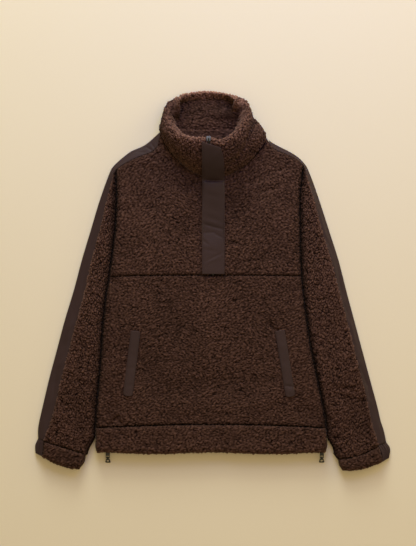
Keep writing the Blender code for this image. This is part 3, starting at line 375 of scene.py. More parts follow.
def body_side(side: Side, y: Amount) -> Grid:
    """The line between body and sleeve at a height."""
    rows = smooth(BODY_SIDES, y)
    return rows[:, 1] if side is Side.LEFT else rows[:, 2]


def yoke_seam(x: Amount) -> Amount:
    """Height of the seam between yoke and lower front."""
    return YOKE_SEAM_MIDDLE - YOKE_SEAM_DROP * np.abs(x / BODY_HALF_WIDTH) ** 4


def hem_seam(x: Amount) -> Amount:
    """Height of the seam between the body and its hem band."""
    return HEM_SEAM_MIDDLE - HEM_SEAM_DROP * (x / BODY_HALF_WIDTH) ** 2


def hem_edge(x: Amount) -> Amount:
    """Height of the hem's lower edge."""
    return HEM_EDGE_MIDDLE - HEM_EDGE_DROP * np.sin(np.pi * np.abs(x / BODY_HALF_WIDTH)) ** 2


def zip_line(y: Amount) -> Amount:
    """The half zip's middle line, which leans a little towards the collar."""
    return np.interp(y, (13.0, 227.0, 299.0), (2.2, -2.2, -7.3))


def fold_height(points: Grid, folds: Rows) -> Grid:
    """Sum of soft folds at points of the plan.

    Args:
        points: Plan points in millimetres.
        folds: Rows of the folds.

    Returns:
        Height in millimetres at each point.
    """
    total = np.zeros(points.shape[:-1])
    for fold in folds:
        start, width, height = np.array(fold[:2], dtype=float), *fold[4:]
        run = np.array(fold[2:4], dtype=float) - start
        away = points[..., :2] - start
        along = np.clip((away @ run) / (run @ run), 0.0, 1.0)
        gap = np.linalg.norm(away - along[..., None] * run, axis=-1)
        taper = 0.35 + 0.65 * np.sin(np.pi * along)
        total += height * taper * bell(gap, width)
    return total


def patch(low: Grid, high: Grid, left: Grid, right: Grid) -> Grid:
    """Grid of plan points inside four border lines.

    Args:
        low: Lower border, from left to right.
        high: Upper border, as many points.
        left: Left border, from low to high.
        right: Right border, as many points.

    Returns:
        Rows from low to high of points from left to right.
    """
    u = arc(low)[None, :, None] / arc(low)[-1]
    v = arc(left)[:, None, None] / arc(left)[-1]
    left[0], left[-1], right[0], right[-1] = low[0], high[0], low[-1], high[-1]
    across = (1 - v) * low[None] + v * high[None]
    along = (1 - u) * left[:, None] + u * right[:, None]
    corners = ((1 - v) * ((1 - u) * low[0] + u * low[-1])
               + v * ((1 - u) * high[0] + u * high[-1]))
    return across + along - corners


def roll_share(distance: Grid, roll: Roll) -> Grid:
    """Share of the full height at a distance from a border that rolls down."""
    t = ramp(distance, 0.0, roll.width)
    return roll.keep + (1 - roll.keep) * np.sqrt(1 - (1 - t) ** 2)


def rolled(plan: Grid, left: Roll, right: Roll, low: Roll, high: Roll) -> Grid:
    """Share of the full height all over a plan grid, from how its four borders roll.

    Args:
        plan: The plan grid.
        left: How the border rolls at the first column.
        right: How it rolls at the last column.
        low: How it rolls at the first row.
        high: How it rolls at the last row.

    Returns:
        Share from zero to one at each point.
    """
    across = np.linalg.norm(np.diff(plan, axis=1), axis=-1)
    across = np.concatenate((np.zeros((len(plan), 1)), across.cumsum(axis=1)), axis=1)
    up = np.linalg.norm(np.diff(plan, axis=0), axis=-1)
    up = np.concatenate((np.zeros((1, plan.shape[1])), up.cumsum(axis=0)), axis=0)
    share = roll_share(across, left) * roll_share(across[:, -1:] - across, right)
    return share * roll_share(up, low) * roll_share(up[-1:] - up, high)


def painted_seam_shade(share: Grid) -> Grid:
    """Painted shade of the pile where it goes down into a seam, from its share of the full height.
    """
    return SEAM_PAINTED_SHADE + (1 - SEAM_PAINTED_SHADE) * share ** 1.5


def lift(plan: Grid, heights: Amount) -> Grid:
    """Plan points with their heights as a third coordinate."""
    heights = np.broadcast_to(np.asarray(heights, dtype=float), plan.shape[:2])
    return np.concatenate((plan, heights[..., None]), axis=2)


def blurred(grid: Grid, reach: tuple[float, float]) -> Grid:
    """A grid of numbers blurred by a bell curve, its borders held.

    Args:
        grid: Numbers by row and column.
        reach: Width of the bell along the rows' axis and the columns' axis, in grid steps.

    Returns:
        The blurred grid.
    """
    for axis, width in enumerate(reach):
        size = max(int(3 * width), 1)
        weights = np.exp(-0.5 * (np.arange(-size, size + 1) / width) ** 2)
        pad = [(size, size) if at == axis else (0, 0) for at in (0, 1)]
        wide = np.pad(grid, pad, mode="edge")
        grid = np.apply_along_axis(np.convolve, axis, wide, weights / weights.sum(), "valid")
    return grid


# Pile ----------

SWIRLS = (((1, 2, 0), 15.0, 1.0, 3.0), ((2, 0, 1), 27.0, 2.0, 5.0))  # axes, length, phase, reach
OCTAVES = ((1.65, 7.0), (1.0, 0.0), (0.62, 13.0), (0.5, 61.0))  # scale and start of the noise
CLUMP_SHIFT = (37.1, 91.7, 13.3)  # from one offset to the next


class CurlField:
    """Curled clumps of pile: a volume of noise of one wavelength, read at any point in space."""

    def __init__(self, seed: int = 5, voxel: float = 1.25, wavelength: float = 9.0,
                 shape: tuple[int, int, int] = (320, 320, 64), spread: float = 0.30) -> None:
        """Make the volume.

        Args:
            seed: Seed of the noise.
            voxel: Size of one cell in millimetres.
            wavelength: Distance between clumps in millimetres.
            shape: Cells along each axis, after which the volume repeats.
            spread: Width of the band of wavelengths as a share of one.
        """
        self.voxel = voxel
        self.shape = np.array(shape)
        noise = np.random.default_rng(seed).standard_normal(shape)
        waves = [np.fft.fftfreq(count, voxel) for count in shape]
        frequency = np.sqrt(sum(axis ** 2 for axis in np.meshgrid(*waves, indexing="ij")))
        band = bell(frequency * wavelength - 1, spread)
        volume = np.fft.ifftn(np.fft.fftn(noise) * band).real
        self.volume = (volume / volume.std()).astype(np.float32)

    def read(self, points: Grid) -> Grid:
        """The noise at points in millimetres, with a standard deviation of one.

        Args:
            points: Places in millimetres.

        Returns:
            One value for each place.
        """
        place = points / self.voxel
        cell = np.floor(place).astype(int)
        part = place - cell
        total = np.zeros(points.shape[:-1])
        for corner in np.ndindex(2, 2, 2):
            at = (cell + corner) % self.shape
            weight = np.prod(np.where(corner, part, 1 - part), axis=-1)
            total += weight * self.volume[at[..., 0], at[..., 1], at[..., 2]]
        return total

    def clumps(self, points: Grid, offset: float, lie: tuple[float, float, float],
               bold: Amount) -> Grid:
        """Height of the pile, from 0 in the parting between clumps to 1 at their tips.

        Args:
            points: Points on the cloth in millimetres.
            offset: Number that sets one piece's curls apart from the next piece's.
            lie: How much closer the partings follow each other along each axis.
            bold: Factor on the depth of the partings.

        Returns:
            The height at each point.
        """
        shift = np.array(CLUMP_SHIFT) * offset
        swirl = sum(np.sin(points[..., axes] / length + phase * offset) * reach
                    for axes, length, phase, reach in SWIRLS)
        place = (points + swirl) * np.array(lie)
        tufts, clumps, locks, patches = (self.read(place * scale + start + shift)
                                         for scale, start in OCTAVES)
        dense = 0.5 + 0.5 * np.tanh(1.4 * patches)
        parting = 0.26 * bell(clumps, 0.35) * (0.3 + 0.7 * dense)
        parting += 0.48 * bell(locks, 0.20) * (1.0 - 0.7 * dense)
        return np.clip(0.65 + 0.12 * tufts + 0.05 * clumps - bold * parting, 0.0, 1.0)


CURLS = CurlField()


# Meshes ----------

class Mesh(NamedTuple):
    """Points in millimetres, faces of four points and faces of more."""

    points: Grid
    quads: Grid
    caps: list[Grid]


def grid_quads(first: int, rows: int, columns: int) -> Grid:
    """Faces of a grid of points that start at a number."""
    a = first + np.arange(rows * columns).reshape(rows, columns)
    return np.stack((a[:-1, :-1], a[:-1, 1:], a[1:, 1:], a[1:, :-1]), axis=-1).reshape(-1, 4)


def border_of(rows: int, columns: int) -> Grid:
    """Numbers of a grid's border points, once round."""
    a = np.arange(rows * columns).reshape(rows, columns)
    return np.concatenate((a[0], a[1:, -1], a[-1, -2::-1], a[-2:0:-1, 0]))


def volume_of(mesh: Mesh) -> float:
    """Signed volume inside a closed mesh, positive where its faces point outwards.

    Args:
        mesh: The closed mesh.

    Returns:
        The volume in cubic millimetres.
    """
    corners = [mesh.points[mesh.quads[:, (0, k, k + 1)]] for k in (1, 2)]
    for cap in mesh.caps:
        fan = np.stack((np.full(len(cap) - 2, cap[0]), cap[1:-1], cap[2:]), axis=1)
        corners.append(mesh.points[fan])
    a, b, c = np.concatenate(corners).transpose(1, 0, 2)
    return float((a * np.cross(b, c)).sum() / 6)


def outward(mesh: Mesh) -> Mesh:
    """The same closed mesh with its faces turned outwards."""
    turned = Mesh(mesh.points, mesh.quads[:, ::-1], [cap[::-1] for cap in mesh.caps])
    return mesh if volume_of(mesh) > 0 else turned


def normals_of(mesh: Mesh) -> Grid:
    """Outward direction at every point, from the four-sided faces round it.

    Args:
        mesh: A mesh of four-sided faces.

    Returns:
        One unit vector for each point.
    """
    a, b, c, d = (mesh.points[mesh.quads[:, k]] for k in range(4))
    face = np.cross(c - a, d - b)
    total = np.zeros_like(mesh.points)
    for corner in range(4):
        for axis in range(3):
            total[:, axis] += np.bincount(mesh.quads[:, corner], face[:, axis], len(total))
    return unit(total)


def closed_wall(face: Grid, back: Grid, rims: int = 0, capped: bool = False) -> Mesh:
    """A closed wall between two grids of points of the same size.

    Args:
        face: Grid of the side that shows.
        back: Grid of the other side.
        rims: Rows of points between the two sides' borders.
        capped: Whether the other side is one flat face, which leaves out its inner points.

    Returns:
        The wall, the face's points first, then the rims', then the back's.
    """
    rows, columns = face.shape[:2]
    ring = border_of(rows, columns)
    face, back = face.reshape(-1, 3), back.reshape(-1, 3)
    points, loops = [face], [ring]
    first = len(face)
    for step in range(1, rims + 1):
        share = step / (rims + 1)
        points.append(face[ring] * (1 - share) + back[ring] * share)
        loops.append(first + np.arange(len(ring)))
        first += len(ring)
    quads, caps = [grid_quads(0, rows, columns)], []
    if capped:
        points.append(back[ring])
        loops.append(first + np.arange(len(ring)))
        caps.append(loops[-1][::-1])
    else:
        points.append(back)
        loops.append(first + ring)
        quads.append(grid_quads(first, rows, columns)[:, ::-1])
    for upper, lower in zip(loops, loops[1:]):
        quads.append(np.stack((lower, np.roll(lower, -1), np.roll(upper, -1), upper), axis=1))
    return outward(Mesh(np.concatenate(points), np.concatenate(quads), caps))


def place_object(name: str, data: bpy.types.ID) -> Item:
    """Put a mesh, a light or a camera in the scene as an object at the origin.

    Args:
        name: Name of the object.
        data: What it shows.

    Returns:
        The object.
    """
    item = bpy.data.objects.new(name, data)
    bpy.context.scene.collection.objects.link(item)
    return item


def make_object(name: str, mesh: Mesh, values: Optional[dict[str, Grid]] = None,
                plan: Optional[Grid] = None) -> Item:
    """Turn a mesh into an object of the scene.

    Args:
        name: The piece's name.
        mesh: Its points and faces.
        values: Named numbers, one for each point, that materials read.
        plan: Place of each point on the flat cut, in millimetres, for the UV map.

    Returns:
        The object, smooth shaded, at the origin.
    """
    data = bpy.data.meshes.new(name)
    sizes = [4] * len(mesh.quads) + [len(cap) for cap in mesh.caps]
    corners = np.concatenate([mesh.quads.reshape(-1)] + mesh.caps)
    data.vertices.add(len(mesh.points))
    data.vertices.foreach_set("co", world(mesh.points).astype(np.float32).ravel())
    data.loops.add(len(corners))
    data.loops.foreach_set("vertex_index", corners.astype(np.int32))
    data.polygons.add(len(sizes))
    starts = np.concatenate(([0], np.cumsum(sizes)[:-1]))
    data.polygons.foreach_set("loop_start", starts.astype(np.int32))
    data.update(calc_edges=True)
    for label, numbers in (values or {}).items():
        attribute = data.attributes.new(label, "FLOAT", "POINT")
        attribute.data.foreach_set("value", numbers.astype(np.float32))
    if plan is not None:
        layer = data.uv_layers.new(name="UVMap")
        layer.data.foreach_set("uv", (plan[corners] * MM).astype(np.float32).ravel())
    data.validate()
    data.shade_smooth()
    return place_object(name, data)


def hand_over(item: Item, node: str, finish: "Finish", body: str = "garment") -> None:
    """Dress a piece and let it stand for its solid.

    Args:
        item: The piece.
        node: The solid that it replaces.
        finish: What the piece is made of.
        body: The body that it moves with.
    """
    item.data.materials.clear()
    item.data.materials.append(finish.material())
    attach(item, body)
    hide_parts(node)
    LOG.info("%s stands for %s, %d faces", item.name, node, len(item.data.polygons))


def declare(item: Item, face: Grid, held: Held, *rests_on: str) -> None:
    """Work out the width, length and area of a piece of cloth's flat cut, which nothing uses.

    Args:
        item: The piece; not used.
        face: Grid of its smooth face in millimetres.
        held: How the cloth is held; not used.
        rests_on: What it lies on or is sewn to; not used.
    """
    width = np.linalg.norm(np.diff(face, axis=1), axis=-1).sum(axis=1).max()
    length = np.linalg.norm(np.diff(face, axis=0), axis=-1).sum(axis=0).max()
    sides = face[1:, 1:] - face[:-1, :-1], face[1:, :-1] - face[:-1, 1:]
    area = np.linalg.norm(np.cross(*sides), axis=-1).sum() / 2
    width = max(width, NARROWEST_CUT)
    area = float(np.clip(area, 0.3 * width * length, width * length)) * MM * MM


# Finishes ----------

class Nodes:
    """Short ways to add and join a material's or a group's nodes."""

    def __init__(self, tree: bpy.types.NodeTree) -> None:
        """Work in a node tree."""
        self.tree = tree

    def feed(self, node: Node, inputs: dict) -> Node:
        """Join a socket to each input of a node, or set its value.

        Args:
            node: The node.
            inputs: For each input's name or number, a socket or a value.

        Returns:
            The node.
        """
        for label, value in inputs.items():
            if isinstance(value, Socket):
                self.tree.links.new(value, node.inputs[label])
            else:
                node.inputs[label].default_value = value
        return node

    def add(self, kind: str, inputs: Optional[dict] = None, **settings: object) -> Node:
        """Add a node.

        Args:
            kind: Blender's name of the node's type, without the word ShaderNode.
            inputs: What feeds its inputs.
            settings: Its own properties.

        Returns:
            The node.
        """
        node = self.tree.nodes.new(kind if kind.startswith("Node") else f"ShaderNode{kind}")
        for label, value in settings.items():
            setattr(node, label, value)
        return self.feed(node, inputs or {})

    def math(self, operation: str, *values: object) -> Socket:
        """Result of a mathematical operation on sockets or numbers."""
        return self.add("Math", dict(enumerate(values)), operation=operation).outputs[0]

    def between(self, value: Socket, low: float, high: float) -> Socket:
        """A value from 0 to 1 spread from a low to a high number."""
        inputs = {"Value": value, "To Min": low, "To Max": high}
        return self.add("MapRange", inputs).outputs["Result"]

    def shaded(self, colour: object, factor: Socket) -> Socket:
        """A colour made lighter or darker by a factor round one."""
        return self.add("VectorMath", {0: colour, "Scale": factor}, operation="SCALE").outputs[0]

    def bump(self, height: Socket, strength: float, distance: float) -> Socket:
        """Direction of a surface with a fine relief."""
        inputs = {"Height": height, "Strength": strength, "Distance": distance}
        return self.add("Bump", inputs).outputs["Normal"]

    def uneven(self, patches: float, specks: float, amount: float) -> list[Socket]:
        """Tone round one and grain of a surface that varies in patches and in fine specks.

        Args:
            patches: How fine the patches are.
            specks: How fine the specks are.
            amount: How far the tone varies.

        Returns:
            The tone and the grain.
        """
        place = self.add("TexCoord").outputs["Object"]
        inputs = {"Vector": place, "Patches": patches, "Specks": specks, "Amount": amount}
        return self.add("Group", inputs, node_tree=uneven_tone()).outputs[:]


def node_group(name: str, inputs: dict[str, float], outputs: Sequence[str],
               fill: Callable[[Nodes, Node, Node], None]) -> bpy.types.NodeTree:
    """A shared node group that reads a place, made once.

    Args:
        name: Its name.
        inputs: First value of each input besides the place.
        outputs: Names of its outputs.
        fill: Function that adds its nodes between the input and the output node.

    Returns:
        The group.
    """
    if name in bpy.data.node_groups:
        return bpy.data.node_groups[name]
    group = bpy.data.node_groups.new(name, "ShaderNodeTree")
    group.interface.new_socket("Vector", in_out="INPUT", socket_type="NodeSocketVector")
    for label, value in inputs.items():
        socket = group.interface.new_socket(label, in_out="INPUT", socket_type="NodeSocketFloat")
        socket.default_value = value
    for label in outputs:
        group.interface.new_socket(label, in_out="OUTPUT", socket_type="NodeSocketFloat")
    nodes = Nodes(group)
    fill(nodes, nodes.add("NodeGroupInput"), nodes.add("NodeGroupOutput"))
    return group


def uneven_tone() -> bpy.types.NodeTree:
    """Group that makes a surface lighter and darker in patches and in fine specks.

    Returns:
        The group.
    """
    def fill(nodes: Nodes, given: Node, out: Node) -> None:
        """Add the noise of two sizes and bring both to a factor round one.

        Args:
            nodes: The group's nodes.
            given: Its input node.
            out: Its output node.
        """
        place, patches, specks, amount = (given.outputs[k] for k in range(4))
        noises = [{"Vector": place, "Scale": patches, "Detail": 2.0},
                  {"Vector": place, "Scale": specks, "Detail": 3.0}]
        broad, fine = (nodes.add("TexNoise", noise).outputs["Fac"] for noise in noises)
        swing = nodes.math("SUBTRACT", nodes.math("ADD", broad, fine), 1.0)
        factor = nodes.math("ADD", nodes.math("MULTIPLY", swing, amount), 1.0)
        nodes.feed(out, {"Factor": factor, "Grain": fine})
    return node_group("uneven_tone", {"Patches": 10.0, "Specks": 500.0, "Amount": 0.3},
                      ("Factor", "Grain"), fill)


def plain_weave() -> bpy.types.NodeTree:
    """Group with the small over and under of a plain weave, from a place in metres.

    Returns:
        The group.
    """
    def fill(nodes: Nodes, given: Node, out: Node) -> None:
        """Multiply two waves that cross.

        Args:
            nodes: The group's nodes.
            given: Its input node.
            out: Its output node.
        """
        axes = nodes.add("SeparateXYZ", {"Vector": given.outputs["Vector"]})
        turns = nodes.math("DIVIDE", 2 * math.pi, given.outputs["Pitch"])
        waves = [nodes.math("SINE", nodes.math("MULTIPLY", axes.outputs[k], turns)) for k in (0, 1)]
        height = nodes.add("MapRange", {"Value": nodes.math("MULTIPLY", *waves), "From Min": -1.0})
        nodes.feed(out, {"Height": height.outputs["Result"]})
    return node_group("plain_weave", {"Pitch": 0.0006}, ("Height",), fill)


@dataclass(frozen=True)
class Finish:
    """What a piece is made of: a named material, made once."""

    name: str

    def material(self) -> bpy.types.Material:
        """The finish's material.

        Returns:
            The material, made the first time that it is asked for.
        """
        if self.name not in bpy.data.materials:
            material = bpy.data.materials.new(self.name)
            material.use_nodes = True
            nodes = Nodes(material.node_tree)
            nodes.feed(material.node_tree.nodes["Principled BSDF"], self.inputs(nodes))
        return bpy.data.materials[self.name]

    def inputs(self, nodes: Nodes) -> dict:
        """What feeds the shader's inputs, with the nodes for it added."""
        raise NotImplementedError


@dataclass(frozen=True)
class PileFinish(Finish):
    """Curly pile: dark in its partings and lighter at its tips, partly its own colour and partly
    painted shade and light, matt with a soft bloom.
    """

    # The partings' and tips' colours are the pile's own, pushed apart by painted shade and painted
    # light.
    parting: Colour = (0.0080, 0.0029, 0.0014)
    middle: Colour = (0.0365, 0.0170, 0.0105)
    tip: Colour = (0.0925, 0.0456, 0.0294)
    levels: tuple[float, float, float] = (0.10, 0.52, 0.95)  # of the three in the pile's height
    bloom: float = 0.05

    def inputs(self, nodes: Nodes) -> dict:
        """Colour by the pile's height, patches and fine fibres, times the tone with its painted
        light and shade.

        Args:
            nodes: The material's nodes.

        Returns:
            What feeds the shader's inputs, by name.
        """
        height, tone = (nodes.add("Attribute", attribute_name=name).outputs["Fac"]
                        for name in ("pile", "tone"))
        ramp = nodes.add("ValToRGB", {"Fac": height})
        stops = ramp.color_ramp.elements
        stops[0].position, stops[0].color = self.levels[0], (*self.parting, 1.0)
        stops[1].position, stops[1].color = self.levels[2], (*self.tip, 1.0)
        stops.new(self.levels[1]).color = (*self.middle, 1.0)
        factor, grain = nodes.uneven(14.0, 620.0, 0.34)
        colour = nodes.shaded(ramp.outputs["Color"], nodes.math("MULTIPLY", factor, tone))
        return {"Base Color": colour, "Roughness": 0.95, "Specular IOR Level": 0.08,
                "Sheen Weight": nodes.math("MULTIPLY", tone, self.bloom), "Sheen Roughness": 0.5,
                "Sheen Tint": (0.80, 0.62, 0.52, 1.0), "Normal": nodes.bump(grain, 0.55, 0.0009)}


@dataclass(frozen=True)
class WeaveFinish(Finish):
    """Smooth plain-woven nylon with a low soft shine."""

    colour: Colour = (0.0288, 0.0138, 0.0122)
    pitch: float = 0.0006
    shine: float = 0.5

    def inputs(self, nodes: Nodes) -> dict:
        """Colour with slight unevenness, gloss with the weave, and the weave's own relief.

        Args:
            nodes: The material's nodes.

        Returns:
            What feeds the shader's inputs, by name.
        """
        factor, grain = nodes.uneven(24.0, 900.0, 0.22)
        place = {"Vector": nodes.add("TexCoord").outputs["UV"], "Pitch": self.pitch}
        weave = nodes.add("Group", place, node_tree=plain_weave())
        return {"Base Color": nodes.shaded(self.colour, factor),
                "Roughness": nodes.between(grain, self.shine - 0.06, self.shine + 0.10),
                "Specular IOR Level": 0.25, "Sheen Weight": 0.05, "Sheen Roughness": 0.4,
                "Sheen Tint": (1.0, 0.84, 0.80, 1.0),
                "Normal": nodes.bump(weave.outputs["Height"], 0.25, 0.0001)}


@dataclass(frozen=True)
class MetalFinish(Finish):
    """Plated zip metal, brushed by wear."""

    colour: Colour = (0.05, 0.05, 0.045)
    gloss: tuple[float, float] = (0.28, 0.48)

    def inputs(self, nodes: Nodes) -> dict:
        """Uneven colour and gloss with fine scratches.

        Args:
            nodes: The material's nodes.

        Returns:
            What feeds the shader's inputs, by name.
        """
        factor, grain = nodes.uneven(260.0, 2600.0, 0.35)
        return {"Base Color": nodes.shaded(self.colour, factor), "Metallic": 1.0,
                "Roughness": nodes.between(grain, *self.gloss),
                "Normal": nodes.bump(grain, 0.15, 0.00005)}


@dataclass(frozen=True)
class FloorFinish(Finish):
    """Plain pale studio floor with a barely uneven tone."""

    colour: Colour = (0.718, 0.626, 0.430)

    def inputs(self, nodes: Nodes) -> dict:
        """Matt colour with very slight patches."""
        colour = nodes.shaded(self.colour, nodes.uneven(1.5, 300.0, 0.03)[0])
        return {"Base Color": colour, "Roughness": 0.9, "Specular IOR Level": 0.2}


FLEECE = PileFinish("sherpa_pile")
NYLON_CLOTH = WeaveFinish("nylon_weave")
TAPE = WeaveFinish("zip_tape_weave", colour=(0.012, 0.008, 0.007), pitch=0.0009, shine=0.7)
THREAD = WeaveFinish("sewing_thread", colour=(0.030, 0.019, 0.015), pitch=0.0003)
BRIGHT_METAL = MetalFinish("bright_plated_metal", colour=(0.19, 0.235, 0.37), gloss=(0.22, 0.42))
DARK_METAL = MetalFinish("dark_plated_metal")
FLOOR = FloorFinish("studio_floor")


# Fleece pieces ----------

RIMS = 2  # rows of points between the two sides of a fleece wall
FLOOR_DEPTH = 1.9  # of the partings in pile that the floor flattens
FOLD_GAIN = 1.15  # of the body's and sleeves' folds against the solids'
TIP_REACH = 5.0  # over which the pile opens towards an edge
PROUD_REACH = 6.0  # over which it stands prouder there


@dataclass(frozen=True)
class Pile:
    """How the pile stands on one piece."""

    offset: float  # sets its curls apart from the next piece's
    depth: Amount = 4.4  # of the partings below the tips
    proud: Amount = 0.5  # how far the tips stand over the solid's surface
    back_depth: Amount = 0.0  # of the partings on the wall's other side
    lie: tuple[float, float, float] = (0.84, 1.18, 1.0)
    rim_share: float = 0.6  # of the depth at the borders, less where pieces meet
    rim_painted_shade: float = 1.0  # painted shade on the rims, which can lie in the dark of a seam
    bold: Amount = 1.0  # how strongly its clumps stand apart

    @classmethod
    def on_floor(cls, offset: float, share: Grid, edge_depth: float = 0.8,
                 proud: Amount = 0.0, rim_share: float = 0.05,
                 back_depth: Amount = 0.0) -> "Pile":
        """Pile of a wall on the floor: flat below, fuller where its edges roll up."""
        return cls(offset, depth=FLOOR_DEPTH + edge_depth * (1 - share),
                   proud=proud * (1 - share) * 0.8, back_depth=back_depth, rim_share=rim_share)

    def cover(self, node: str, walls: tuple[Grid, Grid], held: Held, rests_on: str,
              tone: Amount = 1.0, capped: bool = True) -> None:
        """Make a closed wall whose face and rims carry the curls, in place of its solid.

        Args:
            node: The solid.
            walls: Grids of its smooth face and of its other side.
            held: How the cloth is held.
            rests_on: What it lies on.
            tone: Factor on its colour over the face's grid, with its painted light and shade.
            capped: Whether the other side is one flat face.
        """
        face, back = walls
        mesh = closed_wall(face, back, RIMS, capped)
        normal = normals_of(mesh)
        ring = border_of(*face.shape[:2])
        count, rim = face[..., 0].size, len(ring) * RIMS

        def spread(amount: Amount, behind: Amount) -> Grid:
            """Amount at every point of the wall, from the face's grid and the other side's.

            Args:
                amount: One number, or one for each point of the face's grid.
                behind: Amount on the other side.

            Returns:
                One number for each point of the wall.
            """
            values = np.full(len(mesh.points), 0.0)
            over = np.broadcast_to(amount, face.shape[:2]).reshape(-1)
            values[:count] = over
            values[count:count + rim] = np.tile(over[ring], RIMS)
            if not capped:
                values[count + rim:] = np.broadcast_to(behind, face.shape[:2]).reshape(-1)
            return values

        height = CURLS.clumps(mesh.points, self.offset, self.lie, spread(self.bold, 1.0))
        depths, tones = spread(self.depth, self.back_depth), spread(tone, tone)
        depths[ring] *= self.rim_share
        depths[count:count + rim] *= self.rim_share
        move = (height - 1) * depths + spread(self.proud, 0.0)
        points = mesh.points + normal * move[:, None]
        points[:, 2] = np.maximum(points[:, 2], 0.0)
        tones[tones == 0] = 1.0
        # Painted shade on the rims and the border, which can lie in the dark of a seam.
        tones[count:count + rim] *= self.rim_painted_shade
        tones[ring] *= math.sqrt(self.rim_painted_shade)
        values = {"pile": height, "tone": tones}
        item = make_object(f"{node}_fleece", mesh._replace(points=points), values)
        hand_over(item, node, FLEECE)
        declare(item, face, held, rests_on)


def over_ply(plan: Grid, share: Grid, height: float, folds: Amount = 0.0,
             ply: float = FLEECE_PLY) -> tuple[Grid, Grid]:
    """Both sides of a wall on top of a ply: its face at a height with folds, and flat below."""
    under = ply + PLY_GAP
    return lift(plan, under + (height - under + folds) * share), lift(plan, under)


def on_floor(plan: Grid, share: Grid, ply: float = FLEECE_PLY) -> tuple[Grid, Grid]:
    """Both sides of a wall on the floor: its underside, which rolls up, and flat on top."""
    return lift(plan, ply * (1 - share)), lift(plan, ply)


def cloth_folds(plan: Grid) -> Grid:
    """Height of all folds of the body and the sleeves."""
    return FOLD_GAIN * fold_height(plan, BODY_FOLDS) + fold_height(plan, SMALL_CREASES)


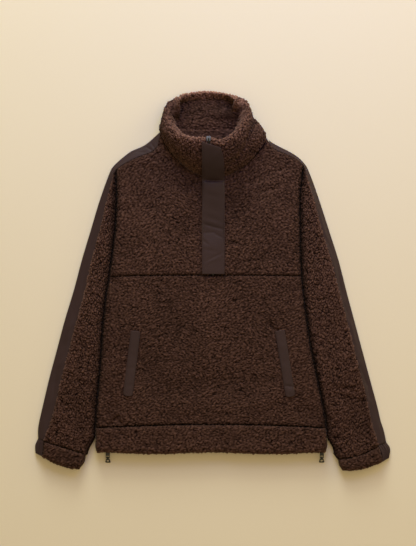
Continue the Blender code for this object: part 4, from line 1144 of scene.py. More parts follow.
@dataclass
class Body:
    """Front yokes, lower front, back and hem band."""

    collar: "Collar"
    low_tone: float = 0.94
    fold_painted_light: float = 0.05  # painted light, lighter for each millimetre of ridge and darker in troughs
    neck_middle: tuple[float, float] = (-2.0, 285.0)  # of the patch of the back that shows in the collar and gets painted light
    neck_reach: tuple[float, float] = (95.0, 75.0)
    edge_painted_light: float = 0.55  # painted light at the hem's edge
    edge_depth: float = 2.6  # how much deeper the partings are there
    edge_proud: float = 2.4  # how much farther the tips stand there

    def side_line(self, side: Side, low_y: float, high_y: float, mesh: float) -> Grid:
        """Edge of a body piece beside the sleeve, from a low to a high end."""
        y = np.linspace(low_y, high_y, max(round((high_y - low_y) / mesh), 8) + 1)
        return np.stack((body_side(side, y) - side * SIDE_CLEARANCE, y), axis=1)

    def seam(self, line: Callable[[Amount], Amount], gap: float, mesh: float) -> Grid:
        """A seam across the whole body, a gap above or below its line.

        Args:
            line: Height of the seam across the body.
            gap: Distance above it, negative for below.
            mesh: Spacing of the points in millimetres.

        Returns:
            Plan points of the edge.
        """
        low = float(line(BODY_HALF_WIDTH))
        left, right = (body_side(side, low)[0] - side * SIDE_CLEARANCE for side in Side)
        x = np.linspace(left, right, round((right - left) / mesh) + 1)
        return np.stack((x, line(x) + gap), axis=1)

    def shade(self, plan: Grid, share: Grid, folds: Rows = BODY_FOLDS) -> Grid:
        """Painted light and shade of the pile: lighter on ridges, darker in troughs and at seams.
        """
        return (1.0 + self.fold_painted_light * fold_height(plan, folds)) * painted_seam_shade(share)

    def between(self, low: Grid, high: Grid, mesh: float) -> Grid:
        """Plan grid between two seams that cross the body.

        Args:
            low: Lower seam.
            high: Upper seam.
            mesh: Spacing of the points in millimetres.

        Returns:
            The plan grid.
        """
        high = spaced(high, len(low) - 1)
        left, right = (self.side_line(side, low[end, 1], high[end, 1], mesh)
                       for side, end in ((Side.LEFT, 0), (Side.RIGHT, -1)))
        rows = max(len(left), len(right)) - 1
        return patch(low, high, spaced(left, rows), spaced(right, rows))

    def build_lower_front(self) -> None:
        """Lower front between hem band and yoke."""
        low, high = (self.seam(line, gap, FINE_MESH) for line, gap in
                     ((hem_seam, SEAM_GAP / 2), (yoke_seam, -SEAM_GAP / 2)))
        plan = self.between(low, high, FINE_MESH)
        share = rolled(plan, AT_SIDE, AT_SIDE, AT_SEAM, AT_SEAM)
        walls = over_ply(plan, share, BODY_HEIGHT, cloth_folds(plan))
        Pile(1.0, rim_painted_shade=SEAM_RIM_PAINTED_SHADE, bold=0.88).cover(
            "front_lower", walls, Held.LAID, "back_panel_fleece",
            self.shade(plan, share) * self.low_tone)

    def build_yoke(self, side: Side) -> None:
        """One half of the front yoke, from its side to the zip.

        Args:
            side: Side of the body.
        """
        shoulder = meet_side(shoulder_line(side, SEAM_ROWS // 4), side)
        high = np.concatenate((shoulder, self.collar.neckline(side)))
        high[-1, 0] = zip_line(high[-1, 1]) + side * ZIP_GAP
        share_of_neck = arc(shoulder)[-1] / arc(high)[-1]
        high = spaced(high, round(arc(high)[-1] / FINE_MESH))
        start = body_side(side, yoke_seam(BODY_HALF_WIDTH))[0] - side * SIDE_CLEARANCE
        end = zip_line(YOKE_SEAM_MIDDLE) + side * ZIP_GAP
        spread = np.abs(high[:, 0] - high[0, 0]) / abs(high[-1, 0] - high[0, 0])
        steps = np.linspace(0, 1, len(high))
        x = start + (end - start) * (spread + steps) / 2
        low = np.stack((x, yoke_seam(x) + SEAM_GAP / 2), axis=1)
        outside = self.side_line(side, low[0, 1], high[0, 1], FINE_MESH)
        y = np.linspace(low[-1, 1], high[-1, 1], len(outside))
        inside = np.stack((zip_line(y) + side * ZIP_GAP, y), axis=1)
        plan = patch(low, high, outside, inside)
        keep = np.interp(steps, (share_of_neck - 0.02, share_of_neck + 0.03),
                         (AT_SEAM.keep, AT_NECK.keep))
        share = rolled(plan, AT_SIDE, AT_SLIT, AT_SEAM, Roll(AT_NECK.width, keep[None, :]))
        walls = over_ply(plan, share, BODY_HEIGHT, cloth_folds(plan))
        Pile(2.0 + side, rim_painted_shade=SEAM_RIM_PAINTED_SHADE, bold=0.9).cover(
            f"front_yoke_{side.label}", walls, Held.LAID, "back_panel_fleece",
            self.shade(plan, share))

    def build_back(self) -> None:
        """Back from the hem band to the shoulders and the neck, flat on the floor."""
        left, right = (meet_side(shoulder_line(side, SEAM_ROWS // 4), side) for side in Side)
        high = np.concatenate((left, self.collar.back_neckline(), right[::-1]))
        plan = self.between(self.seam(hem_seam, SEAM_GAP / 2, BACK_MESH), high, BACK_MESH)
        share = rolled(plan, AT_SIDE, AT_SIDE, NO_ROLL, NO_ROLL)
        # Where the back shows in the collar, its partings go deeper and painted light lifts its
        # tone.
        inside = (plan - np.array(self.neck_middle)) / np.array(self.neck_reach)
        neck = np.clip(1.6 - np.linalg.norm(inside, axis=2), 0.0, 1.0)
        Pile.on_floor(5.0, share, back_depth=2.4 * neck).cover(
            "back_panel", on_floor(plan, share), Held.LAID, FLOOR_NAME, 1.0 + 0.5 * neck, False)

    def build_hem_band(self, facing: Facing) -> None:
        """Hem band, front or back, folded double and puffed.

        Args:
            facing: Front or back.
        """
        up = facing is Facing.UP
        mesh = FINE_MESH if up else BACK_MESH
        low, high = (self.seam(line, gap, mesh) for line, gap in
                     ((hem_edge, 0.0), (hem_seam, -SEAM_GAP / 2)))
        plan = self.between(low, high, mesh)
        share = rolled(plan, AT_EDGE, AT_EDGE, AT_EDGE, AT_SEAM if up else NO_ROLL)
        distance = plan[..., 1] - plan[:1, :, 1]
        proud = 0.3 + self.edge_proud * towards(distance, PROUD_REACH)
        node = f"hem_band_{facing.value}"
        if up:
            folds = fold_height(plan, HEM_FOLDS) + fold_height(plan, SMALL_CREASES)
            walls = over_ply(plan, share, HEM_HEIGHT, folds, HEM_BACK_PLY)
            open_up = towards(distance, TIP_REACH)
            # Painted shade at the seam and in troughs, painted light towards the lower edge.
            tone = self.shade(plan, roll_share(distance[-1:] - distance, AT_SEAM), HEM_FOLDS)
            Pile(6.0, depth=4.4 + self.edge_depth * open_up, proud=proud, rim_share=1.0).cover(
                node, walls, Held.FOLDED, "hem_band_back_fleece",
                tone * (1.0 + self.edge_painted_light * open_up))
        else:
            Pile.on_floor(7.0, share, 1.2, proud, 1.0).cover(
                node, on_floor(plan, share, HEM_BACK_PLY), Held.FOLDED, FLOOR_NAME)

    def build(self) -> None:
        """Make every piece of the body."""
        self.build_lower_front()
        for side in Side:
            self.build_yoke(side)
        self.build_back()
        for facing in Facing:
            self.build_hem_band(facing)


def shoulder_line(side: Side, count: int) -> Grid:
    """Sewn edge of a shoulder strip from the armhole to the neck, a seam's gap below it."""
    fold, seam = read_lines(SHOULDERS[side], np.linspace(1, 0, count + 1))
    return seam + unit(seam - fold) * SEAM_GAP


def meet_side(line: Grid, side: Side) -> Grid:
    """A shoulder line that starts where it meets the side of the body.

    Args:
        line: The shoulder line, from the side to the neck.
        side: Side of the body.

    Returns:
        The line from the meeting point on.
    """
    line = line.copy()
    inside = (line[:, 0] - (body_side(side, line[:, 1]) - side * SIDE_CLEARANCE)) * side < 0
    first = int(np.argmax(inside))
    outer, inner = line[first - 1].copy(), line[first]
    for _ in range(6):
        edge = body_side(side, line[first - 1, 1])[0] - side * SIDE_CLEARANCE
        line[first - 1] = outer + (edge - outer[0]) / (inner[0] - outer[0]) * (inner - outer)
    return line[first - 1:]


# Nylon strips, sleeves and cuffs ----------

@dataclass(frozen=True)
class Ribbon:
    """A nylon strip folded round an edge of the garment, from the floor up to its seam."""

    seam_height: float
    creases: Rows = ()  # along and across the flap
    gathers: float = 0.0  # height of lengthwise gathers
    step_along: float = 3.6  # between points
    step_across: float = 1.3
    slack: tuple[float, float] = (0.30, 0.22)  # height of its slow and its quick waves
    piping: float = 0.45  # depth of the line beside its folded edge

    def wall(self, fold: Grid, seam: Grid) -> tuple[Mesh, Grid, Grid]:
        """Model the strip.

        Args:
            fold: Plan points of its folded edge.
            seam: Plan points of its sewn edge, as many.

        Returns:
            The closed wall, its outer grid, and each point's place on the flat cut.
        """
        length = arc(fold)
        rows = max(round(length[-1] / self.step_along), 8)
        stops = np.linspace(0, length[-1], rows + 1)
        fold, seam = (np.stack([np.interp(stops, length, column) for column in line.T], 1)
                      for line in (fold, seam))
        width = np.linalg.norm(seam - fold, axis=1)[:, None]
        direction = (seam - fold) / width
        half, reach = NYLON / 2, NYLON / 2 + STRIP_BEND
        end, top = width - SEAM_GAP / 2, 2 * STRIP_BEND + NYLON / 2
        columns = max(round(float(width.mean()) / self.step_across), 6)
        share = np.linspace(0, 1, columns + 1)[None, :]
        turn = np.radians(np.linspace(270.0, 90.0, 9))[None, 1:-1]
        over_away, flat = reach + (end - reach) * share, 0 * (width + share)
        away = np.concatenate((end + (reach - end) * share,
                               reach + STRIP_BEND * np.cos(turn) + 0 * width, over_away), axis=1)
        rise = top + (self.seam_height - half - top) * share ** 0.8
        relief = self.relief(stops[:, None], over_away, share, float(stops[-1]))
        ahead, above = np.cos(turn) + 0 * width, np.sin(turn) + 0 * width
        height = np.concatenate((half + flat, reach + STRIP_BEND * np.sin(turn) + 0 * width,
                                 rise + relief), axis=1)
        nx = np.concatenate((flat, ahead, flat), axis=1)
        nz = np.concatenate((flat - 1, above, flat + 1), axis=1)

        def layer(offset: float) -> Grid:
            """The strip's middle surface moved outwards."""
            plan = fold[:, None] + direction[:, None] * (away + nx * offset)[..., None]
            return np.concatenate((plan, (height + nz * offset)[..., None]), axis=2)

        outer, inner = layer(half), layer(-half)
        steps = np.hypot(np.diff(away, axis=1), np.diff(height, axis=1)).cumsum(axis=1)
        across = np.concatenate((0 * stops[:, None], steps), axis=1)
        cut = np.stack((across, np.broadcast_to(stops[:, None], across.shape)), axis=2)
        mesh = closed_wall(outer, inner)
        return mesh, outer, np.concatenate((cut.reshape(-1, 2), cut.reshape(-1, 2)))

    def relief(self, along: Grid, across: Grid, share: Grid, length: float) -> Grid:
        """Height of creases, gathers and the slack of the cloth over the flap.

        Args:
            along: Distance down the strip from its first end, in millimetres.
            across: Distance from the fold in millimetres.
            share: Place across the strip, from zero at the fold to one at the seam.
            length: Length of the strip in millimetres.

        Returns:
            Height in millimetres at each point.
        """
        places = np.stack((along + 0 * across, across), axis=2)
        fade = np.sin(np.pi * np.clip(share, 0, 1)) ** 0.7
        total = fold_height(places, self.creases) * fade
        slow = np.sin(along / 31.0 + 1.2 * np.sin(across / 7.0))
        quick = np.sin(along / 13.0 + across / 5.0)
        total = total + (self.slack[0] * slow + self.slack[1] * quick) * fade
        total -= self.piping * bell(across - 6.2, 1.1) * (0.6 + 0.4 * np.sin(along / 40.0))
        if self.gathers:
            phase = 0.9 * np.sin(along / 11.0) + 0.5 * np.sin(along / 5.0 + 1.0)
            pleat = np.sin(2 * np.pi * share * 3.6 + phase) + 0.4 * np.sin(
                2 * np.pi * share * 7.3 + 2.0 * phase + 1.0)
            total += self.gathers * pleat * (1 - share) ** 0.5 * fade
            total -= 1.1 * towards(along, 3.0) + 0.7 * towards(length - along, 3.0) * fade
        return total

    def build(self, node: str, fold: Grid, seam: Grid, held: Held) -> None:
        """Make the strip and let it stand for its solid.

        Args:
            node: The solid that the strip stands for.
            fold: Plan points of its folded edge.
            seam: Plan points of its seam.
            held: How the cloth is held.
        """
        mesh, outer, cut = self.wall(fold, seam)
        item = make_object(f"{node}_cloth", mesh, plan=cut)
        hand_over(item, node, NYLON_CLOTH)
        declare(item, outer, held, FLOOR_NAME)


# Slanting wrinkles beside the neck, where the strip turns into the collar.
SHOULDER_CREASES = {
    Side.LEFT: (
        (88, 2, 104, 34, 2.8, -0.9), (97, 2, 113, 32, 3, 0.4), (104, 4, 118, 30, 2.6, -0.7),
        (60, 6, 84, 20, 4, -0.4), (20, 4, 52, 14, 4, 0.3),
    ),
    Side.RIGHT: ((72, 2, 92, 10, 2.4, -1), (40, 3, 66, 8, 2.6, 0.7)),
}


@dataclass
class ShoulderStrip:
    """Nylon strip over one shoulder, from the collar to the sleeve."""

    side: Side
    tuck: float = 4.0  # how far it goes on under the collar

    def build(self) -> None:
        """Make the strip."""
        fold, seam = read_lines(SHOULDERS[self.side], np.linspace(1, 0, SEAM_ROWS))
        run = unit(fold[1] - fold[0])
        for line in (fold, seam):
            line[0] += run * SEAM_GAP
            line[-1] += run * self.tuck
        strip = Ribbon(STRIP_SEAM_HEIGHT, SHOULDER_CREASES[self.side], step_along=2.0)
        strip.build(f"shoulder_strip_{self.side.label}", fold, seam, Held.FOLDED)


@dataclass
class Sleeve:
    """Front, back and folded nylon strip of one sleeve."""

    side: Side
    overhang: float = 1.6  # of the front's pile over the strip's sewn edge
    valley: tuple[float, float] = (150.0, 95.0)  # stretch of deeper painted shade beside the body: its middle and half length
    tone: float = 1.17
    upper_tone: float = 0.09  # more towards the shoulder
    lower_tone: float = 0.06  # less towards the cuff
    strip_tone: float = 0.35  # more beside the strip
    body_painted_shade: float = 0.32  # painted shade beside the body, deeper in the valley
    valley_painted_shade: float = 0.26

    def strip_creases(self) -> Rows:
        """Long shallow creases of the nylon, which lies loose along the fold.

        Returns:
            Rows of the creases.
        """
        lean = 1.0 if self.side is Side.LEFT else -1.0
        rows = [(90 + 118 * k, 9 + 3 * lean, 168 + 118 * k, 16 + 4 * lean, 4.0, 1.2 * (-1) ** k)
                for k in range(5)]
        rows += [(140 + 150 * k, 15, 196 + 150 * k, 7, 3.0, -1.0) for k in range(3)]
        rows += [(330 + 42 * k, 27, 362 + 42 * k, 8, 7.0, 1.3 * (-1) ** k) for k in range(5)]
        return tuple(rows)

    def lines(self) -> tuple[Grid, Grid, Grid]:
        """Fold, strip seam and inner edge down to the cuff, below the shoulder's seam.

        Returns:
            The three lines as plan points.
        """
        fold, seam, last = read_lines(SLEEVES[self.side], np.linspace(0, 1, SEAM_ROWS))
        y, inset = last[:, 0], np.maximum(last[:, 1], 0.0)
        x = body_side(self.side, y) + self.side * (SIDE_CLEARANCE + inset)
        inner = np.stack((x, y), axis=1)
        run = unit(fold[1] - fold[0]) * SEAM_GAP
        for line in (fold, seam, inner):
            line[0] += run
        return fold, seam, inner

    def build(self) -> None:
        """Make the strip, the front and the back."""
        fold, seam, inner = self.lines()
        strip = Ribbon(STRIP_SEAM_HEIGHT, self.strip_creases())
        strip.build(f"sleeve_strip_{self.side.label}", fold, seam, Held.FOLDED)
        across = unit(inner - seam)
        for facing in Facing:
            shift = -self.overhang if facing is Facing.UP else SEAM_GAP / 2
            self.build_panel(facing, seam + across * shift, inner)

    def build_panel(self, facing: Facing, start: Grid, inner: Grid) -> None:
        """Make the sleeve's front or back.

        Args:
            facing: Which of the two.
            start: Plan points of the edge at the strip.
            inner: Plan points of the edge at the body.
        """
        up = facing is Facing.UP
        plan = tube_plan(start, inner, up, (0.0, CUFF_SEAM_BOW[self.side]), -1)
        node = f"sleeve_{facing.value}_{self.side.label}"
        if not up:
            share = rolled(plan, NO_ROLL, AT_SIDE, NO_ROLL, NO_ROLL)
            Pile.on_floor(12.0 + self.side, share).cover(
                node, on_floor(plan, share), Held.LAID, FLOOR_NAME)
            return
        share = rolled(plan, AT_STRIP, AT_SIDE, NO_ROLL, AT_SEAM)
        y = plan[..., 1]
        upper, down = ramp(y, 0.0, 120.0), ramp(-y, 0.0, 300.0)
        edge, beside_body = (np.linalg.norm(plan - plan[:, end], axis=2)
                             for end in (np.s_[:1], np.s_[-1:]))
        valley = bell(y - self.valley[0], self.valley[1]) * (self.side is Side.LEFT)
        # Painted light on ridges, painted shade in troughs, in the seams and beside the body.
        tone = self.tone + self.upper_tone * upper + 0.05 * fold_height(plan, BODY_FOLDS)
        tone = tone * (1.0 - self.lower_tone * down)
        tone = tone * painted_seam_shade(share / roll_share(edge, AT_STRIP))
        tone = tone * (1.0 + self.strip_tone * towards(edge, 4.0))
        tone = tone * (1.0 - (self.body_painted_shade + self.valley_painted_shade * valley)
                       * bell(beside_body, 9.0 + 3.0 * valley))
        walls = over_ply(plan, share, SLEEVE_HEIGHT, cloth_folds(plan))
        Pile(9.0 + self.side, depth=5.6, lie=(1.24, 1.12, 1.1), rim_painted_shade=SEAM_RIM_PAINTED_SHADE,
             bold=1.35 + 0.35 * upper).cover(
                 node, walls, Held.LAID, f"sleeve_back_{self.side.label}_fleece", tone)


def tube_plan(start: Grid, inner: Grid, fine: bool, bows: tuple[float, float], seam: int) -> Grid:
    """Plan grid of a sleeve's or a cuff's panel.

    Args:
        start: Plan points of its outer edge, from the head down.
        inner: Plan points of its inner edge.
        fine: Whether it shows.
        bows: How far its head and its end bow down in the middle.
        seam: Which of the two ends is the seam between sleeve and cuff, 0 or -1.

    Returns:
        Rows from the head down.
    """
    mesh = FINE_MESH if fine else BACK_MESH
    rows = round(arc(start)[-1] / mesh)
    columns = round(np.linalg.norm(inner[seam] - start[seam]) / mesh)
    fractions = np.linspace(0, 1, columns + 1)[:, None]
    sag = np.array((0.0, -1.0)) * np.sin(np.pi * fractions)
    head, foot = (start[end] + (inner[end] - start[end]) * fractions + sag * bow
                  for end, bow in zip((0, -1), bows))
    return patch(head, foot, spaced(start, rows), spaced(inner, rows))


@dataclass
class Cuff:
    """Fleece front and back of one cuff, and its gathered nylon round the fold."""

    side: Side
    tuck: float = 2.5  # how far its inner end goes on under the sleeve
    plump: float = 2.6  # of the pile past its inner fold
    tone: float = 0.86
    edge_painted_light: float = 0.45  # painted light at its open end
    edge_depth: float = 2.0  # how much deeper the partings are there
    edge_proud: float = 1.8  # how much farther the tips stand there

    def build(self) -> None:
        """Make the three pieces."""
        fold, gather, inner = read_lines(CUFFS[self.side], np.linspace(0, 1, SEAM_ROWS // 4))
        for line in (fold, gather, inner):
            line[0] -= np.array((0.0, SEAM_GAP))
        strip = Ribbon(GATHER_SEAM_HEIGHT, gathers=1.25, step_along=1.1, step_across=0.8)
        strip.build(f"cuff_gather_{self.side.label}", fold, gather, Held.GATHERED)
        inner[:, 0] -= self.side * self.plump
        inner[0] += np.array((0.0, self.tuck))
        start = gather + unit(inner - gather) * SEAM_GAP / 2
        for facing in Facing:
            self.build_panel(facing, start, inner)

    def build_panel(self, facing: Facing, start: Grid, inner: Grid) -> None:
        """Make the cuff's front or back between its nylon edge and its inner fold.

        Args:
            facing: Front or back.
            start: Plan points of its seam with the nylon.
            inner: Plan points of the inner fold.
        """
        up = facing is Facing.UP
        plan = tube_plan(start, inner, up, (CUFF_SEAM_BOW[self.side], CUFF_EDGE_BOW), 0)
        distance = np.linalg.norm(plan - plan[-1:], axis=2)
        proud = 0.2 + self.edge_proud * towards(distance, PROUD_REACH)
        open_up = towards(distance, TIP_REACH)
        if up:
            share = rolled(plan, AT_STRIP, AT_EDGE, AT_SEAM, AT_EDGE)
            walls = over_ply(plan, share, CUFF_HEIGHT)
            pile = Pile(15.0 + self.side, depth=3.8 + self.edge_depth * open_up, proud=proud,
                        rim_share=0.8)
            below = f"cuff_back_{self.side.label}_fleece"
        else:
            share = rolled(plan, NO_ROLL, AT_EDGE, NO_ROLL, AT_EDGE)
            walls = on_floor(plan, share)
            pile = Pile.on_floor(18.0 + self.side, share, 1.2, proud, 0.8)
            below = FLOOR_NAME
        # Painted light towards the open end.
        pile.cover(f"cuff_{facing.value}_{self.side.label}", walls, Held.LAID, below,
                   self.tone + self.edge_painted_light * open_up)


# Collar ----------

@dataclass
class Collar:
    """Stand-up collar of two layers: the outer one rolls over the rim and meets the lining."""

    ply: float = 6.8
    gap: float = 0.15  # from the middle surface to each layer
    fold_clearance: float = 5.0  # of the yoke's end from the collar's side fold
    fold_reach: float = 32.0  # over which that clearance fades
    neck_corner: float = 2.5  # the yoke ends this far below the shoulder strip's fold
    mesh: float = 1.5
    turn_in: float = 15.0  # how far the outer layer comes down inside the rim
    rim_puff: tuple[tuple[float, float], ...] = (
        (0.0, 4.0), (0.08, 9.0), (0.17, 19.0), (0.24, 26.0), (0.34, 20.0), (0.42, 10.0),
        (0.50, 7.0), (0.58, 9.0), (0.66, 17.0), (0.76, 23.0), (0.86, 17.0), (0.93, 8.0),
        (1.0, 3.0))
    # Painted light and shade round the collar: station and factor.
    ring_painted_shading: tuple[tuple[float, float], ...] = (
        (0.0, 1.05), (1.5, 0.94), (4.0, 0.97), (8.0, 1.0), (12.5, 1.0), (14.4, 0.70),
        (16.2, 0.77), (17.6, 1.12), (20.9, 1.18))
    back: tuple[float, float] = (10.2, 2.8)  # its middle row and half its length, in rows
    side_tuck: tuple[float, float, float] = (6.3, 1.3, 4.5)  # of the foot: row, rows and depth
    lap_reach: float = 16.0  # of the lining over the back's neck edge
    lap_heights: tuple[float, float] = (7.9, 10.6)  # at its end and beside the collar
    tone: float = 1.16
    rim_tips_and_painted_light: float = 0.70  # lighter tips at the rim, and painted light where the light shines through them
    rim_proud: float = 1.4  # how much farther the tips stand there
    rim_depth: float = 1.6  # how much deeper the partings are there
    back_painted_light: tuple[float, float] = (1.1, -0.25)  # painted light inside the back's rim, painted shade outside it
    lining_painted_light: tuple[float, float, float] = (1.80, 1.62, 0.96)  # painted light of the lining: lap's end, foot and above
    lining_back_painted_light: tuple[float, float] = (0.6, -0.12)  # painted light under the back's rim, painted shade below it

    def __post_init__(self) -> None:
        """Work out the middle surface between the layers."""
        dense = np.linspace(0, COLLAR_RING[-1][0], 4 * SEAM_ROWS)
        table = smooth(COLLAR_RING, dense)
        length = arc((table[:, 1:4] + table[:, 4:7]) / 2)
        stops = np.linspace(0, length[-1], round(length[-1] / self.mesh) + 1)
        table = smooth(COLLAR_RING, np.interp(stops, length, dense))
        base, rim, belly = table[:, 1:4], table[:, 4:7], table[:, 7:8]
        outwards = unit(np.cross(np.gradient((base + rim) / 2, axis=0), rim - base))
        self.tall = float(np.linalg.norm(rim - base, axis=1).max())
        self.levels = np.linspace(0, 1, round(self.tall / self.mesh) + 1)
        share = self.levels[None, :, None]
        middle = base[:, None] + (rim - base)[:, None] * share
        middle = middle + 4 * share * (1 - share) * (belly * outwards)[:, None]
        places = np.stack(np.broadcast_arrays(20.0 * table[:, :1], self.tall * self.levels), axis=2)
        folds = fold_height(places, COLLAR_FOLDS) * ramp(places[..., 1], 0.0, 12.0)
        middle = middle + folds[..., None] * outwards[:, None]
        middle[..., 2] = np.maximum(middle[..., 2], self.gap + self.ply)
        self.middle = middle
        self.up = unit(np.gradient(middle, self.levels, axis=1))
        self.normal = unit(np.cross(np.gradient(middle, axis=0), self.up))
        self.lining_ply = table[:, 8]
        self.round_painted_shading = np.interp(table[:, :1], *np.array(self.ring_painted_shading).T)
        self.at_back = bell(table[:, :1] - self.back[0], self.back[1])
        self.tuck = self.side_tuck[2] * np.exp(
            -((table[:, :1] - self.side_tuck[0]) / self.side_tuck[1]) ** 2
            - (self.levels[None, :] * self.tall / 14.0) ** 2)

    def foot(self) -> Grid:
        """Line of the outer layer's foot."""
        return self.middle[:, 0] + self.normal[:, 0] * (self.gap + self.ply)

    def neckline(self, side: Side) -> Grid:
        """Plan points just outside the collar's foot, from its widest point to the zip.

        Args:
            side: Side of the body.

        Returns:
            The plan points.
        """
        foot = self.foot()
        widest = int(np.argmax(foot[:, 0] * side))
        line = foot[widest::-1, :2] if side is Side.RIGHT else foot[widest:, :2]
        run = unit(np.gradient(line, axis=0)) * -side
        away = np.stack((run[:, 1], -run[:, 0]), axis=1)
        beside_fold = self.fold_clearance * towards(arc(line), self.fold_reach)[:, None]
        line = line + away * (SEAM_GAP + beside_fold)
        return line[line[:, 1] < SHOULDERS[side][0][2] - self.neck_corner]

    def back_neckline(self) -> Grid:
        """Plan points of the back's neck, from -X to +X, just clear of the collar's foot.

        Returns:
            The plan points.
        """
        foot, corner = self.middle[:, 0], self.foot()
        away = -unit(self.up[:, 0, :2])
        sticks_out = np.maximum(np.sum((corner - foot)[:, :2] * away, axis=1), 0.0)
        line = foot[:, :2] + away * (sticks_out + 2 * SEAM_GAP)[:, None]
        return line[corner[:, 2] < FLEECE_PLY + PLY_GAP][::-1]

    def build(self) -> None:
        """Make both layers."""
        self.build_outer()
        self.build_lining()

    def build_outer(self) -> None:
        """Outer layer, from its foot over the rim and down inside."""
        far, near, level = self.shell()
        at_rim = ramp(level, 0.8, 0.2)
        inside = ramp(np.arange(far.shape[1]), len(self.levels) + 4, 6.0)[None, :]
        # Painted light at the rim and inside the back's rim, painted shade outside it, and painted
        # light and shade round the collar.
        tone = (self.tone + self.rim_tips_and_painted_light * at_rim) * (
            1 + self.at_back * (self.back_painted_light[0] * inside + self.back_painted_light[1])) * self.round_painted_shading
        depth = 4.6 + self.rim_depth * ramp(level, 0.85, 0.15)
        Pile(21.0, depth=depth, proud=0.4 + self.rim_proud * at_rim, lie=(1.15, 1.15, 1.0),
             bold=1.45, rim_share=0.3, rim_painted_shade=SEAM_RIM_PAINTED_SHADE).cover(
                 "collar_outer", (far, near), Held.FOLDED, "back_panel_fleece", tone, False)

    def build_lining(self) -> None:
        """Lining, from its lap over the back up to the outer layer's turned-in edge."""
        stop = len(self.levels) - round(self.turn_in / self.mesh) + 1
        lining, normal = self.middle[:, :stop], self.normal[:, :stop]
        thick = self.lining_ply[:, None] * self.lining_share()[None, :stop]
        face = lining - normal * (self.gap + thick)[..., None]
        face, back = self.lap(face, lining - normal * self.gap)
        laps = face.shape[1] - thick.shape[1]
        thick = np.concatenate((np.repeat(thick[:, :1], laps, axis=1), thick), axis=1)
        column = np.arange(face.shape[1])
        # Painted light on the lap and under the back's rim, painted shade below it.
        tone = np.interp(column, (0, laps, laps + 24), self.lining_painted_light)[None, :]
        under_rim = np.clip(1 - (face.shape[1] - column) / 14.0, 0, 1)[None, :]
        tone = tone * (1 + self.at_back * (self.lining_back_painted_light[0] * under_rim + self.lining_back_painted_light[1]))
        Pile(24.0, depth=np.minimum(0.6 * thick, 3.2), proud=0.0, lie=(0.85, 1.25, 1.0)).cover(
            "collar_inner", (face, back), Held.LAID, "collar_outer_fleece", tone, False)

    def lap(self, face: Grid, back: Grid) -> tuple[Grid, Grid]:
        """Carry the lining a little over the back's edge, so that its pile hides the seam.

        Args:
            face: Grid of the lining's inner side, from its foot up.
            back: Grid of its other side.

        Returns:
            Both grids with the lap's rows before the foot's.
        """
        low = np.clip((12.0 - self.middle[:, 0, 2]) / 4.0, 0.0, 1.0)[:, None]
        share, down = 0.12 + 0.88 * low, self.up[:, 0]
        stops = np.linspace(self.lap_reach, 0.5, round(self.lap_reach / self.mesh))
        end, start = self.lap_heights
        heights = np.interp(stops, (3.0, self.lap_reach), (start, end))
        laps = []
        for grid, below in ((face, 0.0), (back, 1.5)):
            rows = []
            for reach, height in zip(stops, heights):
                row = grid[:, 0] - down * reach * share
                row[:, 2] += low[:, 0] * (height - below - row[:, 2])
                rows.append(row)
            laps.append(np.concatenate((np.stack(rows, axis=1), grid), axis=1))
        return laps[0], laps[1]

    def lining_share(self) -> Grid:
        """Share of the lining's thickness at each level, less where it meets the back."""
        return 0.4 + 0.6 * ramp(self.levels * self.tall, 0.0, 16.0) ** 0.7

    def shell(self) -> tuple[Grid, Grid, Grid]:
        """Outer and inner grid of the layer that rolls over the rim, and each row's level.

        Returns:
            The two grids, and the level of each row.
        """
        count = round(math.pi * (self.ply + 4.0) / self.mesh)
        turn = np.linspace(0, math.pi, count + 1)[None, 1:, None]
        rim, rim_normal, rim_up = self.middle[:, -1:], self.normal[:, -1:], self.up[:, -1:]
        reach = self.gap + self.ply
        puff = np.interp(np.linspace(0, 1, len(rim)), *np.array(self.rim_puff).T)[:, None, None]
        across = np.where(np.cos(turn) > 0, reach, reach + puff)
        spoke = rim_normal * np.cos(turn) * across + rim_up * np.sin(turn) * reach
        thin = rim_normal * np.cos(turn) + rim_up * np.sin(turn)
        down = round(self.turn_in / self.mesh)
        middle, normal = (grid[:, -2:-down - 1:-1] for grid in (self.middle, self.normal))
        share = np.linspace(0, 1, middle.shape[1] + 1)[None, 1:]
        lining = self.lining_ply[:, None] + self.gap
        inside = lining + (reach + puff[..., 0] - lining) * (1 - share ** (2.2 - self.at_back))
        wall = self.middle + self.normal * (reach - self.tuck)[..., None]
        far = np.concatenate((wall, rim + spoke,
                              middle - normal * inside[..., None]), axis=1)
        near = np.concatenate((self.middle + self.normal * self.gap, rim + thin * self.gap,
                               middle - normal * self.gap), axis=1)
        level = np.concatenate((self.levels, np.ones(count), 1 - 0.2 * share[0]))[None, :]
        return far, near, level


# Placket and welts ----------

LOOK_FROM = 200.0  # height over all solids
STITCH_PITCH = 2.8
STITCH_HALF = 0.36 * STITCH_PITCH  # of its length
STITCH_WIDTH = 0.32  # half of it
STITCH_RISE = 0.28  # over the cloth
STITCH_OUTLINE = ((-1, 0), (-0.6, 0.75), (0.6, 0.75), (1, 0), (0.6, -0.75), (-0.6, -0.75))


def heights_on(node: str, plan: Grid) -> Grid:
    """Height of a solid's upper surface, found by looking straight down on it.

    Args:
        node: The solid.
        plan: Grid of plan points over it.

    Returns:
        Height in millimetres at each point.
    """
    data = frame["nodes"][node].data
    tree = BVHTree.FromPolygons([vertex.co.copy() for vertex in data.vertices],
                                [tuple(face.vertices) for face in data.polygons])
    heights = np.zeros(plan.shape[:2])
    down = Vector((0.0, 0.0, -1.0))
    for at in np.ndindex(plan.shape[:2]):
        hit = tree.ray_cast(Vector(world((*plan[at], LOOK_FROM))), down)[0]
        heights[at] = np.nan if hit is None else hit.z / MM
    known = np.isfinite(heights)
    return np.where(known, heights, np.interp(
        np.arange(heights.size), np.flatnonzero(known), heights[known]).reshape(heights.shape))


